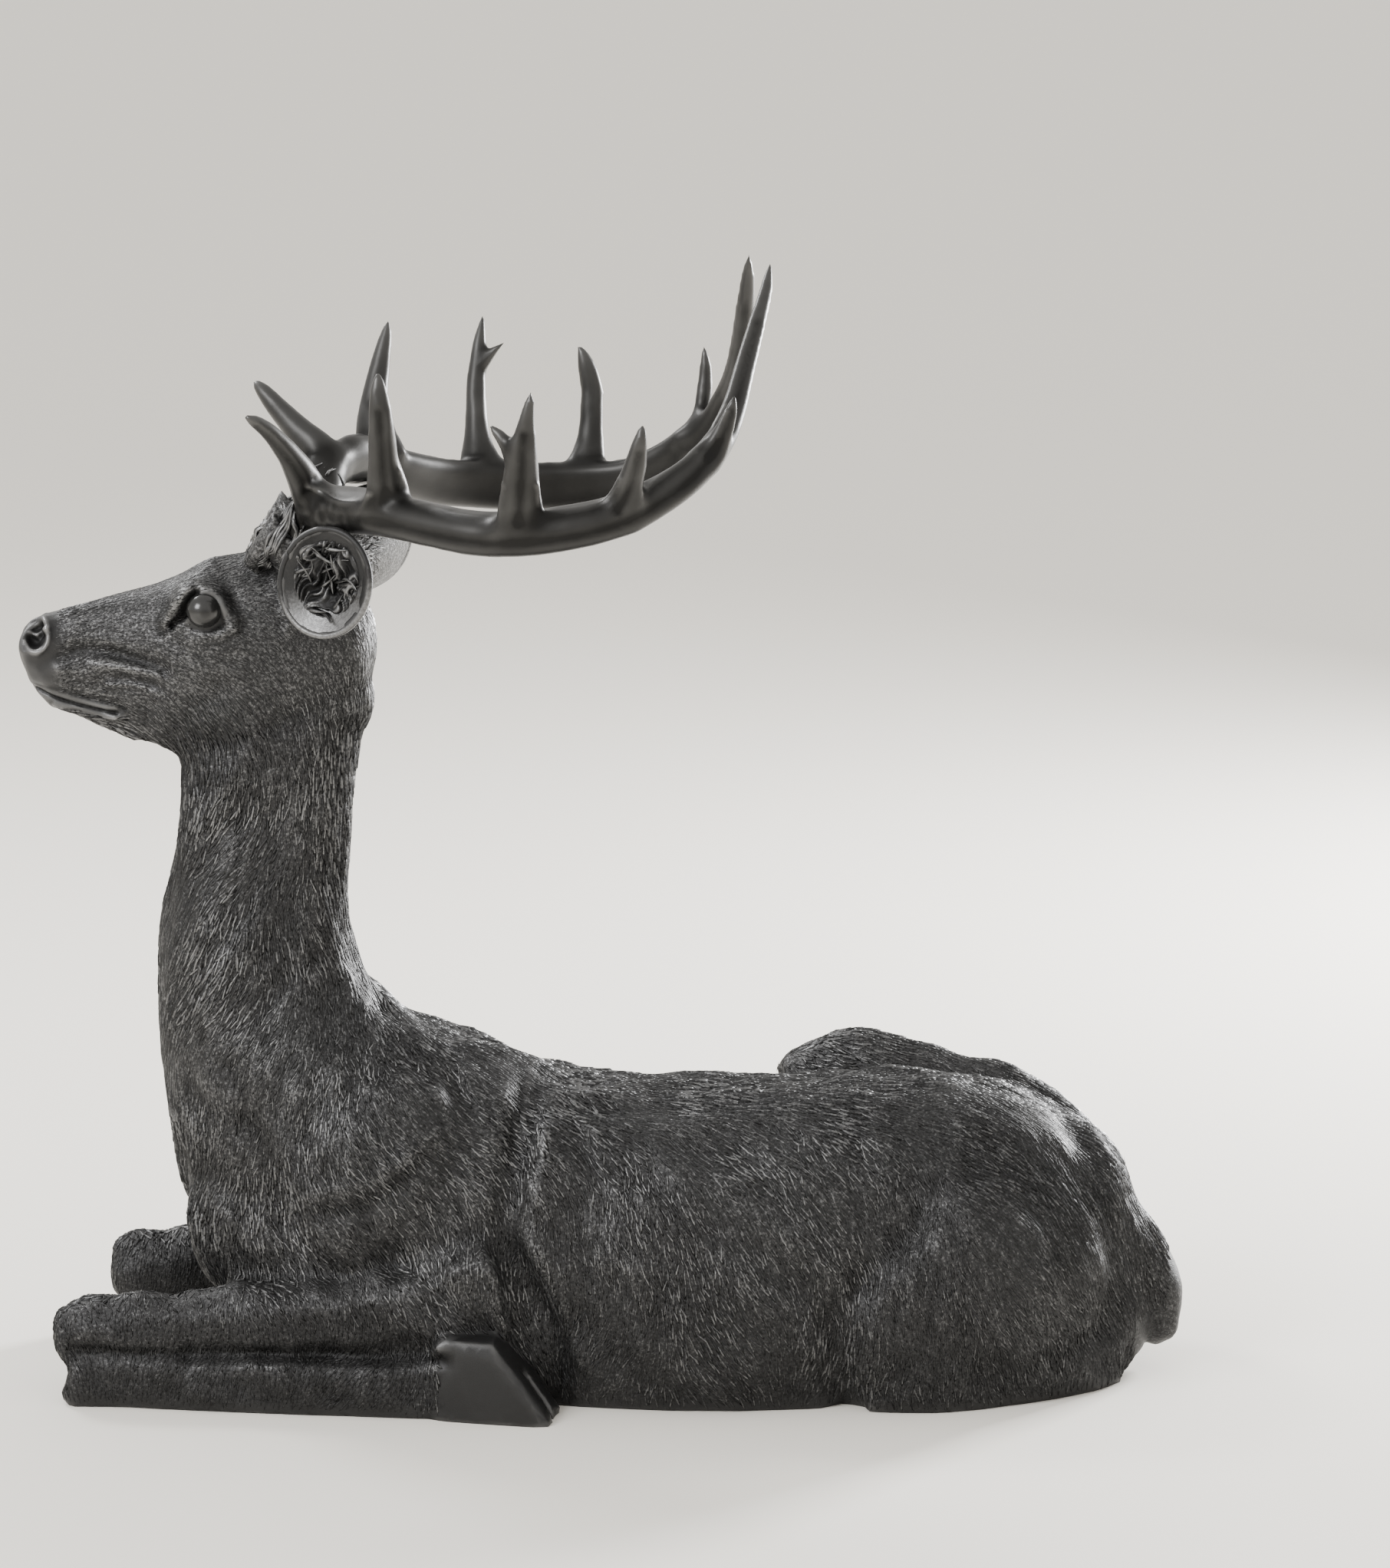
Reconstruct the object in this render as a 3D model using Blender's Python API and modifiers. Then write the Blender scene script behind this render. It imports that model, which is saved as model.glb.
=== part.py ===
# A life-size stag lying on the ground with its head up, cast hollow in iron and blackened.
# The stag faces -X, its left side is at -Y, and it rests on the ground at Z = 0.
# Run with: blender --background --python part.py
import math

import bmesh
import bpy
import numpy as np
from mathutils import Matrix, Vector, noise

# Driving sizes, in metres.
STAG_HEIGHT = 1.350           # ground to the antler tips
SEAT_RADIUS = 0.0285          # flat seat on each stem, where an antler stands
SEAT_GAP = 0.0004             # joint between the seat and the antler's foot
HAIR_GAP = 0.0020             # room between an antler's foot and the hair around it
HOOF_CLEFT = 0.007            # width of the split between the two toes
EAR_WALL = 0.009              # thickness of the ear's shell

# The figure's own proportions are written as shares of its height, 1350 to the whole.
SHARE = STAG_HEIGHT / 1350

# Mesh fineness: the fused skins are remeshed, smoothed and then thinned to these face counts.
SKIN_VOXEL = 4.6 * SHARE
ANTLER_VOXEL = 3.6 * SHARE
BODY_TRIANGLES = 6000
ANTLER_TRIANGLES = 1440
FINER_WEIGHT = 0.08
RING_POINTS = 40
BEAM_POINTS = 28
TINE_POINTS = 24
SOFTENING = 5                 # rounds of smoothing over the creases of a fused skin

IRON_COLOUR = (0.035, 0.035, 0.037, 1.0)
ANTLER_COLOUR = (0.028, 0.028, 0.030, 1.0)


def at(x, y, z):
    """A point of the figure, from shares of its height."""
    return Vector((x, y, z)) * SHARE


def clear_scene():
    for thing in list(bpy.data.objects):
        bpy.data.objects.remove(thing)


def iron(name, colour, roughness):
    material = bpy.data.materials.new(name)
    material.use_nodes = True
    shader = material.node_tree.nodes["Principled BSDF"]
    shader.inputs["Base Color"].default_value = colour
    shader.inputs["Metallic"].default_value = 0.7
    shader.inputs["Roughness"].default_value = roughness
    return material


# Lofts: a form is a row of ring sections, joined by a smooth curve through all of them.

def section(first, second, half_width, side=0.0, square=2.0, egg=0.0):
    """A ring across the figure's middle plane. first and second are its (x, z) ends, side its y shift.
    square above 2 flattens the ring's sides, and egg above 0 widens its first end."""
    a = at(first[0], side, first[1])
    b = at(second[0], side, second[1])
    return {"centre": (a + b) / 2, "along": (a - b) / 2, "across": at(0, half_width, 0),
            "square": square, "egg": egg}


def limb_sections(stations, lateral=(0, 1, 0), square=2.0):
    """Rings along a limb. Each station is (x, y, z, half width, half depth)."""
    centres = [at(*station[:3]) for station in stations]
    rings = []
    for i, station in enumerate(stations):
        before = centres[max(i - 1, 0)]
        after = centres[min(i + 1, len(centres) - 1)]
        tangent = (after - before).normalized()
        across = Vector(lateral) - tangent * tangent.dot(Vector(lateral))
        across.normalize()
        along = across.cross(tangent).normalized()
        rings.append({"centre": centres[i], "along": along * station[4] * SHARE,
                      "across": across * station[3] * SHARE, "square": square, "egg": 0.0})
    return rings


def curve_through(values, steps):
    """Centripetal-like Catmull-Rom curve through rows of numbers, steps points to each span."""
    rows = np.array(values, float)
    padded = np.vstack([2 * rows[0] - rows[1], rows, 2 * rows[-1] - rows[-2]])
    found = []
    for i in range(1, len(padded) - 2):
        p0, p1, p2, p3 = padded[i - 1:i + 3]
        for step in range(steps):
            t = step / steps
            found.append(0.5 * (2 * p1 + (p2 - p0) * t + (2 * p0 - 5 * p1 + 4 * p2 - p3) * t ** 2
                                + (3 * p1 - p0 - 3 * p2 + p3) * t ** 3))
    found.append(rows[-1])
    return np.array(found)


def loft(rings, steps=6, points=RING_POINTS):
    """A closed mesh over the rings, with a flat cap at each end."""
    packed = [[*ring["centre"], *ring["along"], *ring["across"], ring["square"], ring["egg"]] for ring in rings]
    bm = bmesh.new()
    loops = []
    for row in curve_through(packed, steps):
        centre, along, across = Vector(row[0:3]), Vector(row[3:6]), Vector(row[6:9])
        power, egg = 2 / row[9], row[10]
        loop = []
        for k in range(points):
            angle = 2 * math.pi * k / points
            c, s = math.cos(angle), math.sin(angle)
            up = math.copysign(abs(c) ** power, c)
            out = math.copysign(abs(s) ** power, s) * (1 + egg * up)
            loop.append(bm.verts.new(centre + along * up + across * out))
        loops.append(loop)
    for lower, upper in zip(loops, loops[1:]):
        for k in range(points):
            n = (k + 1) % points
            bm.faces.new((lower[k], lower[n], upper[n], upper[k]))
    bm.faces.new(loops[0][::-1])
    bm.faces.new(loops[-1])
    bmesh.ops.recalc_face_normals(bm, faces=bm.faces)
    return bm


def ball(centre, radii, turn=(0, 0, 0)):
    """An ellipsoid of flesh. turn is about X, Y and Z, in degrees."""
    bm = bmesh.new()
    bmesh.ops.create_uvsphere(bm, u_segments=32, v_segments=20, radius=1)
    size = Matrix.Diagonal((*[r * SHARE for r in radii], 1))
    spin = (Matrix.Rotation(math.radians(turn[2]), 4, "Z") @ Matrix.Rotation(math.radians(turn[1]), 4, "Y")
            @ Matrix.Rotation(math.radians(turn[0]), 4, "X"))
    bm.transform(Matrix.Translation(at(*centre)) @ spin @ size)
    return bm


def as_object(name, bm, collection, material=None):
    mesh = bpy.data.meshes.new(name)
    bm.to_mesh(mesh)
    bm.free()
    thing = bpy.data.objects.new(name, mesh)
    if material:
        mesh.materials.append(material)
    collection.objects.link(thing)
    return thing


def apply_modifiers(thing):
    graph = bpy.context.evaluated_depsgraph_get()
    mesh = bpy.data.meshes.new_from_object(thing.evaluated_get(graph))
    thing.modifiers.clear()
    thing.data = mesh


def fuse(name, forms, voxel, collection, material):
    """One skin over all the overlapping forms, with the creases between them softened."""
    joined = bmesh.new()
    for form in forms:
        shell = bpy.data.meshes.new("form")
        form.to_mesh(shell)
        form.free()
        joined.from_mesh(shell)
        bpy.data.meshes.remove(shell)
    thing = as_object(name, joined, collection, material)
    remesh = thing.modifiers.new("one skin", "REMESH")
    remesh.mode = "VOXEL"
    remesh.voxel_size = voxel
    remesh.use_smooth_shade = True
    soften = thing.modifiers.new("soft creases", "SMOOTH")
    soften.factor = 0.5
    soften.iterations = SOFTENING
    apply_modifiers(thing)
    return thing


# Carving: strokes are drawn as seen from the side, in (x, z), and raise or sink the skin under them.

MIDDLE_BAND = 4 * SHARE


def distance_to_path(points, path):
    """Distance of each (x, z) point from a line through the path's points."""
    nearest = np.full(len(points), 1e9)
    for start, end in zip(path, path[1:]):
        start, run = np.array(start, float), np.array(end, float) - np.array(start, float)
        share = np.clip(((points - start) @ run) / (run @ run), 0, 1)
        nearest = np.minimum(nearest, np.linalg.norm(points - start - share[:, None] * run, axis=1))
    return nearest


def carve(thing, strokes):
    """Each stroke is (path, half width, height, sides). A height below 0 cuts in. The middle band stays as it is."""
    mesh = thing.data
    count = len(mesh.vertices)
    places = np.empty(count * 3, np.float32)
    mesh.vertices.foreach_get("co", places)
    places = places.reshape(-1, 3).astype(float)
    normals = np.empty(count * 3, np.float32)
    mesh.vertices.foreach_get("normal", normals)
    normals = normals.reshape(-1, 3)
    for path, half_width, height, sides in strokes:
        line = (curve_through(path, 6) if len(path) > 2 else np.array(path, float)) * SHARE
        reach = 3 * half_width * SHARE
        seen = places[:, [0, 2]]
        close = np.flatnonzero(((seen > line.min(0) - reach) & (seen < line.max(0) + reach)).all(1))
        weight = np.exp(-(distance_to_path(seen[close], line) / (half_width * SHARE)) ** 2)
        for side in sides:
            facing = np.clip(normals[close, 1] * side * 1.6, 0, 1) * (places[close, 1] * side > MIDDLE_BAND)
            places[close] += normals[close] * (weight * facing * height * SHARE)[:, None]
    mesh.vertices.foreach_set("co", places.astype(np.float32).ravel())
    mesh.update()


BOTH = (-1, 1)


# The body's forms.

def neck_form():
    """From inside the head down to the chest. Each row is its front, its back and its half width."""
    rows = [((-500, 800), (-285, 925), 60), ((-508, 748), (-291, 790), 71), ((-508, 697), (-299, 700), 75),
            ((-511, 650), (-306, 648), 78), ((-519, 602), (-307, 600), 82), ((-529, 555), (-302, 552), 88),
            ((-534, 508), (-292, 505), 96), ((-537, 465), (-268, 468), 107), ((-536, 413), (-222, 430), 124),
            ((-529, 340), (-150, 398), 145), ((-514, 262), (-110, 330), 156), ((-490, 190), (-150, 200), 140),
            ((-450, 110), (-220, 110), 105)]
    return loft([section(front, back, width, square=2.1, egg=-0.08) for front, back, width in rows])


def torso_form():
    """From the chest to the buttocks. Each row is its top, its underside, its half width and its y shift."""
    rows = [((-470, 330), (-450, -30), 96, 0), ((-420, 395), (-405, -75), 134, 0), ((-330, 436), (-320, -80), 164, 0),
            ((-230, 416), (-230, -80), 180, 0), ((-150, 409), (-150, -80), 186, 0), ((-92, 384), (-88, -80), 186, 0),
            ((-30, 361), (-30, -80), 198, 0), ((60, 352), (60, -80), 212, 0), ((150, 352), (150, -80), 219, 2),
            ((240, 356), (240, -80), 214, 5), ((330, 358), (330, -80), 204, 8), ((410, 355), (410, -80), 190, 10),
            ((470, 345), (470, -80), 172, 12), ((530, 318), (530, -78), 150, 12), ((575, 284), (575, -60), 126, 12),
            ((608, 244), (606, -40), 100, 10), ((632, 205), (630, -20), 76, 8), ((650, 160), (648, 10), 50, 5)]
    return loft([section(top, under, width, side=shift, square=2.5, egg=-0.05)
                 for top, under, width, shift in rows])


def head_form():
    """From the nose to the back of the skull. Each row is its top, its underside, its half width and its egg."""
    rows = [((-689, 911), (-694, 886), 22, 0), ((-679, 922), (-687, 864), 33, 0), ((-660, 930), (-674, 836), 37, 0),
            ((-638, 936), (-655, 815), 37, 0.05), ((-608, 944), (-628, 807), 36, 0.1),
            ((-578, 953), (-590, 793), 41, 0.12), ((-532, 965), (-545, 777), 54, 0.14),
            ((-495, 980), (-505, 758), 68, 0.14), ((-467, 994), (-465, 745), 77, 0.12),
            ((-440, 1000), (-425, 740), 81, 0.08), ((-405, 1004), (-385, 760), 81, 0.04),
            ((-365, 1004), (-345, 785), 77, 0), ((-325, 994), (-305, 810), 69, 0), ((-292, 966), (-280, 840), 52, 0),
            ((-272, 925), (-268, 880), 24, 0)]
    return loft([section(top, under, width, square=2.15, egg=egg) for top, under, width, egg in rows])


def foreleg_forms(side, reach):
    """A folded foreleg: the forearm lies forward over the shin, which lies back along the ground.
    side is -1 on the stag's left, and reach moves the knee along X."""
    forearm = [(-120, side * 150, 150, 66, 78), (-230, side * 152, 122, 56, 62), (-360, side * 147, 104, 45, 50),
               (-480, side * 142, 92, 39, 44), (-570 + reach, side * 139, 84, 38, 43),
               (-620 + reach, side * 138, 80, 38, 42), (-644 + reach, side * 138, 78, 31, 35),
               (-652 + reach, side * 138, 78, 19, 21)]
    shin = [(-637 + reach, side * 140, 34, 30, 32), (-622 + reach, side * 141, 30, 38, 44),
            (-596 + reach, side * 142, 29, 38, 43), (-540 + reach, side * 149, 29, 36, 41),
            (-440, side * 166, 29, 34, 40), (-330, side * 179, 30, 33, 40), (-240, side * 190, 33, 33, 42),
            (-195, side * 194, 36, 32, 46), (-165, side * 196, 38, 30, 44)]
    return [loft(limb_sections(forearm, square=2.3)), loft(limb_sections(shin, square=3.4))]


def hoof_form(side):
    """A hoof lying on its side wall behind the shin: a block with a slanted toe, cut off at the ground."""
    heel, toe = at(-186, side * 197, -6), at(-52, side * 227, -6)
    height, half_width = 108 * SHARE, 33 * SHARE
    run = toe - heel
    aside = Vector((0, 0, 1)).cross(run).normalized() * half_width
    profile = [(-0.04, 0.0), (-0.04, 0.94), (0.06, 1.0), (0.48, 0.98), (1.0, 0.14), (1.0, 0.0)]
    bm = bmesh.new()
    near_wall = [bm.verts.new(heel + run * u - aside + Vector((0, 0, height * v))) for u, v in profile]
    face = bm.faces.new(near_wall)
    made = bmesh.ops.extrude_face_region(bm, geom=[face])
    bmesh.ops.translate(bm, vec=aside * 2, verts=[v for v in made["geom"] if isinstance(v, bmesh.types.BMVert)])
    bmesh.ops.recalc_face_normals(bm, faces=bm.faces)
    bmesh.ops.bevel(bm, geom=list(bm.edges), offset=7 * SHARE, affect="EDGES", segments=2, profile=0.5, material=-1)
    return bm


def cleft_cutter(side, cutters):
    """The split that runs from the toe's tip between the two toes of a hoof."""
    bm = bmesh.new()
    bmesh.ops.create_cube(bm, size=1)
    bm.transform(Matrix.Diagonal((74 * SHARE, HOOF_CLEFT, 120 * SHARE, 1)))
    place = Matrix.Translation(at(-66, side * 224, 34)) @ Matrix.Rotation(side * math.radians(12), 4, "Z")
    bm.transform(place @ Matrix.Rotation(math.radians(40), 4, "Y"))
    return as_object("hoof cleft", bm, cutters)


def far_hind_leg_forms():
    """The right hind leg: its knee stands up beside the back, and its foot lies forward along the belly."""
    thigh = [(560, 90, 146, 76, 116), (520, 110, 190, 88, 120), (470, 130, 223, 94, 120), (400, 150, 250, 92, 107),
             (340, 164, 284, 80, 92), (292, 172, 311, 62, 72), (250, 176, 310, 46, 50), (224, 178, 302, 26, 26)]
    shank = [(238, 178, 298, 32, 32), (285, 184, 262, 54, 62), (380, 190, 175, 50, 62), (450, 190, 105, 42, 54),
             (512, 184, 58, 36, 44), (534, 180, 48, 22, 28)]
    foot = [(534, 182, 36, 24, 32), (505, 190, 28, 34, 38), (420, 206, 26, 33, 37), (330, 220, 26, 31, 36),
            (265, 230, 28, 32, 40), (230, 236, 30, 30, 40), (214, 238, 30, 20, 30)]
    return [loft(limb_sections(rows)) for rows in (thigh, shank, foot)]


def near_hind_leg_forms():
    """The left hind leg lies flat: only its thigh and knee show, and the rest is folded under."""
    shank = [(318, -160, 52, 48, 62), (400, -154, 42, 52, 62), (490, -126, 36, 48, 54), (570, -88, 32, 42, 46),
             (622, -60, 30, 28, 34)]
    return [ball((428, -112, 130), (178, 102, 150), (0, -6, 12)), ball((330, -158, 86), (56, 58, 84), (0, 10, 0)),
            ball((352, -140, 150), (60, 62, 74), (0, 30, 0)), loft(limb_sections(shank, square=2.8))]


def flesh_forms():
    """Muscles and bones that swell the plain forms."""
    forms = []
    for side in BOTH:
        forms += [ball((-262, side * 112, 245), (135, 72, 160), (0, 14, 0)),
                  ball((-165, side * 138, 135), (105, 66, 100), (0, 8, 0)),
                  ball((-415, side * 58, 190), (80, 66, 125), (0, -12, 0)),
                  ball((-420, side * 34, 852), (72, 46, 84), (0, 20, 0)),
                  ball((-464, side * 52, 944), (46, 31, 34), (0, 22, 0)),
                  ball((-468, side * 71, 944), (20, 17, 20))]
    forms += [ball((545, 20, 150), (100, 120, 150), (0, 12, 0)), ball((598, 0, 72), (70, 92, 84)),
              ball((-362, 0, 1004), (44, 56, 36)), ball((-334, 0, 836), (60, 62, 66))]
    forms += [ball((-372, side * 50, 1024), (22, 36, 34)) for side in BOTH]
    return forms


def tail_form():
    rows = [(604, 4, 226, 28, 22), (634, 4, 184, 32, 25), (662, 4, 138, 34, 27), (682, 4, 96, 31, 27),
            (686, 4, 62, 26, 24), (680, 4, 36, 19, 18), (672, 4, 22, 9, 10)]
    return loft(limb_sections(rows))


def ear_form(side, back):
    """A cupped ear that stands out sideways, its rim slanted to the front. back moves the rim towards the rump."""
    wall = EAR_WALL / SHARE
    rim_out, rim_tall, rim_wide = 182, 67, 57
    outside = [(62, 24, 22), (84, 33, 29), (112, 48, 42), (142, 60, 52), (168, 66, 56), (rim_out, rim_tall, rim_wide)]
    inside = [(rim_out + 4, rim_tall - wall * 0.7, rim_wide - wall * 0.7),
              (rim_out - 8, rim_tall - wall * 1.5, rim_wide - wall * 1.5), (150, 46, 40), (126, 32, 27), (112, 12, 10)]
    sections = []
    for out, tall, wide in outside + inside:
        share = (out - 62) / (rim_out - 62)
        centre = at(-331 + (16 + back) * share, side * out, 982 + 13 * share)
        slant = 0.5 * share
        sections.append({"centre": centre, "along": at(wide * 0.1, 0, tall),
                         "across": at(side * wide, wide * slant, 0), "square": 2.0, "egg": 0.0})
    return loft(sections, steps=4)


def forehead_tuft_forms():
    """Locks of hair that climb the front of the antler stems."""
    forms = []
    for y, lean, height in ((-62, -8, 0.86), (-40, -4, 1), (-16, 0, 0.9), (16, 0, 0.9), (40, 4, 1), (62, 8, 0.86)):
        rows = [(-412, y * 0.8, 996, 12, 10), (-398, y, 1018, 14, 12),
                (-385, y + lean, 1018 + 28 * height, 12, 10), (-379, y + lean * 1.6, 1018 + 54 * height, 5, 5)]
        forms.append(loft(limb_sections(rows)))
    return forms


STEM_FOOT = (-350, 42, 950)
STEM_SEAT = (-344, 60, 1034)


def stem_forms():
    """The two short stems of bone that carry the antlers."""
    foot, seat = STEM_FOOT, STEM_SEAT
    middle = [(a + b) / 2 for a, b in zip(foot, seat)]
    above = [b + (b - a) * 0.12 for a, b in zip(foot, seat)]
    forms = []
    for side in BOTH:
        rows = [(x, side * y, z, radius, radius * 1.05)
                for (x, y, z), radius in ((foot, 36), (middle, 31), (seat, 29.5), (above, 29.5))]
        forms.append(loft(limb_sections(rows)))
    return forms


# The antlers: beams and tines as (x, y, z, half thickness, half height), y outward from the middle plane.

LEFT_BEAM = [(-344, 62, 1036, 27, 27), (-340, 70, 1052, 26, 28), (-326, 92, 1068, 25, 30), (-294, 135, 1071, 23, 27),
             (-245, 200, 1076, 21, 26), (-190, 255, 1071, 19, 25), (-135, 300, 1067, 18, 25), (-83, 325, 1070, 18, 25),
             (-22, 335, 1079, 17, 24), (29, 325, 1091, 17, 23), (72, 305, 1110, 16, 22), (111, 275, 1135, 15, 21),
             (140, 240, 1167, 14, 18), (157, 205, 1202, 12, 15), (169, 165, 1241, 11, 13), (184, 115, 1289, 9, 11),
             (196, 75, 1325, 7, 8), (200, 57, 1346, 3, 3)]
LEFT_TINES = [
    [(-325, 85, 1062, 22, 30), (-340, 104, 1096, 19, 21), (-357, 128, 1130, 15, 15), (-378, 150, 1160, 11, 11),
     (-396, 164, 1176, 8, 8), (-406, 170, 1181, 4, 4)],
    [(-243, 196, 1072, 18, 38), (-240, 212, 1105, 17, 26), (-243, 228, 1135, 15, 18), (-244, 245, 1181, 13, 15),
     (-246, 250, 1216, 9, 11), (-247, 250, 1240, 4, 4)],
    [(-86, 323, 1068, 17, 38), (-84, 335, 1098, 16, 27), (-82, 350, 1130, 15, 21), (-80, 364, 1161, 14, 18),
     (-75, 374, 1195, 9, 10), (-71, 379, 1219, 6, 7), (-69, 380, 1233, 3, 3)],
    [(-84, 352, 1145, 11, 15), (-100, 357, 1173, 8, 9), (-112, 352, 1186, 6, 6), (-118, 350, 1191, 3, 3)],
    [(22, 324, 1086, 15, 34), (36, 332, 1112, 14, 21), (44, 343, 1140, 12, 14), (50, 352, 1168, 9, 10),
     (54, 355, 1193, 4, 4)],
    [(120, 262, 1140, 13, 24), (138, 257, 1166, 12, 15), (149, 261, 1192, 9, 10), (155, 262, 1212, 6, 7),
     (157, 262, 1225, 3, 3)],
]
RIGHT_BEAM = [(-344, 62, 1036, 27, 27), (-342, 70, 1056, 26, 28), (-334, 92, 1078, 25, 31), (-313, 140, 1094, 23, 31),
              (-281, 195, 1083, 21, 32), (-252, 230, 1068, 20, 33), (-208, 280, 1050, 18, 34), (-152, 318, 1041, 18, 34),
              (-86, 335, 1036, 17, 33), (-28, 335, 1038, 17, 32), (25, 320, 1046, 16, 29), (62, 303, 1066, 16, 25),
              (98, 280, 1095, 15, 21), (130, 250, 1128, 14, 17), (149, 220, 1165, 12, 14), (161, 180, 1202, 12, 13),
              (168, 140, 1244, 11, 13), (172, 100, 1285, 9, 12), (175, 76, 1318, 7, 9), (176, 62, 1346, 3, 3)]
RIGHT_TINES = [
    [(-322, 112, 1084, 22, 34), (-344, 118, 1108, 19, 23), (-368, 132, 1128, 16, 18), (-393, 150, 1152, 13, 14),
     (-412, 163, 1172, 10, 10), (-424, 170, 1184, 4, 5)],
    [(-276, 200, 1084, 19, 42), (-280, 214, 1112, 17, 28), (-282, 235, 1142, 14, 19), (-277, 250, 1180, 12, 14),
     (-270, 260, 1216, 9, 10), (-264, 265, 1245, 4, 4)],
    [(-156, 318, 1054, 16, 38), (-159, 333, 1084, 15, 22), (-161, 346, 1112, 13, 15), (-162, 360, 1153, 12, 13),
     (-158, 370, 1200, 9, 10), (-154, 380, 1242, 3, 3)],
    [(-160, 364, 1168, 9, 9), (-148, 362, 1186, 8, 8), (-133, 358, 1201, 5, 5), (-120, 355, 1211, 2, 2)],
    [(-26, 334, 1050, 15, 36), (-21, 344, 1076, 14, 22), (-18, 355, 1106, 12, 16), (-17, 360, 1144, 11, 15),
     (-24, 360, 1178, 9, 12), (-34, 360, 1205, 3, 4)],
    [(98, 270, 1094, 13, 26), (113, 268, 1120, 12, 14), (121, 270, 1145, 10, 11), (125, 275, 1175, 9, 10),
     (125, 275, 1198, 7, 7), (122, 275, 1219, 3, 3)],
]


def antler_sections(stations, side):
    """Rings along a beam or tine, flattened in the sheet that the antler's points stand in."""
    placed = [(x, side * y, z, thick, tall) for x, y, z, thick, tall in stations]
    return limb_sections(placed, lateral=(0.15, side, 0.25))


def antler_forms(beam, tines, side):
    forms = [loft(antler_sections(beam, side), points=BEAM_POINTS)]
    forms += [loft(antler_sections(tine, side), points=TINE_POINTS) for tine in tines]
    return forms


# Carved lines of the face and the body, as (path, half width, height, sides).

def nostril_ring(radius_x, radius_z):
    return [(-674 + radius_x * math.cos(math.radians(a)), 909 + radius_z * math.sin(math.radians(a)))
            for a in range(0, 361, 30)]


FACE_STROKES = [
    ([(-510, 926), (-500, 948), (-480, 968), (-455, 963), (-430, 937)], 8, 4.5, BOTH),
    ([(-510, 926), (-488, 913), (-463, 910), (-443, 918), (-430, 937)], 7, 3.5, BOTH),
    ([(-504, 930), (-492, 948)], 6, -6, BOTH),
    ([(-506, 929), (-520, 918)], 6, -4, BOTH),
    ([(-676, 846), (-640, 838), (-613, 831), (-570, 818)], 6, -6, BOTH),
    ([(-640, 825), (-610, 819), (-577, 808)], 7, 2.5, BOTH),
    (nostril_ring(19, 22), 6, 3.5, BOTH),
    ([(-679, 902), (-669, 915)], 10, -10, BOTH),
    ([(-626, 892), (-574, 887), (-520, 878)], 9, -3.5, BOTH),
    ([(-592, 874), (-525, 871)], 8, 3, BOTH),
    ([(-600, 856), (-562, 850), (-530, 856)], 7, -3, BOTH),
    ([(-507, 792), (-486, 822), (-450, 852)], 18, -4, BOTH),
]
BODY_STROKES = [
    ([(-83, 392), (-106, 252), (-102, 205), (-75, 129), (-57, 91), (-50, 20)], 17, -13, BOTH),
    ([(-58, 330), (-70, 240), (-52, 160)], 26, 6, BOTH),
    ([(-420, 330), (-372, 250), (-372, 190)], 24, -7, BOTH),
    ([(-330, 330), (-250, 300), (-190, 220)], 30, 5, BOTH),
    ([(-420, 160), (-300, 165), (-200, 190)], 22, -6, BOTH),
    ([(-630, 68), (-500, 68), (-330, 70), (-175, 74)], 8, -7, BOTH),
    ([(378, 240), (333, 189), (300, 142), (276, 95), (290, 0)], 18, -12, (-1,)),
    ([(-500, 700), (-470, 560), (-450, 430)], 34, 4, BOTH),
    ([(-400, 690), (-370, 560), (-330, 450)], 30, -5, BOTH),
]


def coat_relief(thing, height, length, width):
    """Low clumps of hair along the way the coat lies: down and forward on the neck, down and back behind it."""
    mesh = thing.data
    count = len(mesh.vertices)
    places = np.empty(count * 3, np.float32)
    mesh.vertices.foreach_get("co", places)
    places = places.reshape(-1, 3)
    normals = np.empty(count * 3, np.float32)
    mesh.vertices.foreach_get("normal", normals)
    normals = normals.reshape(-1, 3)
    x, y, z = (places / SHARE).T
    neck = np.clip((z - 330) / 160, 0, 1) * np.clip((-120 - x) / 120, 0, 1)
    bare = np.maximum(np.clip((z - 800) / 60, 0, 1), np.clip((25 - z) / 20, 0, 1))
    bare = np.maximum(bare, np.clip((70 - np.hypot(x + 120, z - 40)) / 20, 0, 1))
    lie = ((neck, -0.38, -0.92), (1 - neck, 0.72, -0.69))
    for i in np.flatnonzero(bare < 1):
        clump = 0
        for weight, way_x, way_z in lie:
            along, across = x[i] * way_x + z[i] * way_z, x[i] * way_z - z[i] * way_x
            clump += weight[i] * noise.noise(Vector((along / length, across / width, y[i] / width)))
        places[i] += normals[i] * clump * height * SHARE * (1 - bare[i])
    mesh.vertices.foreach_set("co", places.ravel())
    mesh.update()


def cut_flat(thing, point, normal):
    """Cuts off what lies below a plane and closes the cut."""
    bm = bmesh.new()
    bm.from_mesh(thing.data)
    geometry = list(bm.verts) + list(bm.edges) + list(bm.faces)
    made = bmesh.ops.bisect_plane(bm, geom=geometry, plane_co=point, plane_no=normal, clear_inner=True)
    edges = [e for e in made["geom_cut"] if isinstance(e, bmesh.types.BMEdge)]
    bmesh.ops.edgeloop_fill(bm, edges=edges)
    bm.to_mesh(thing.data)
    bm.free()


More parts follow.
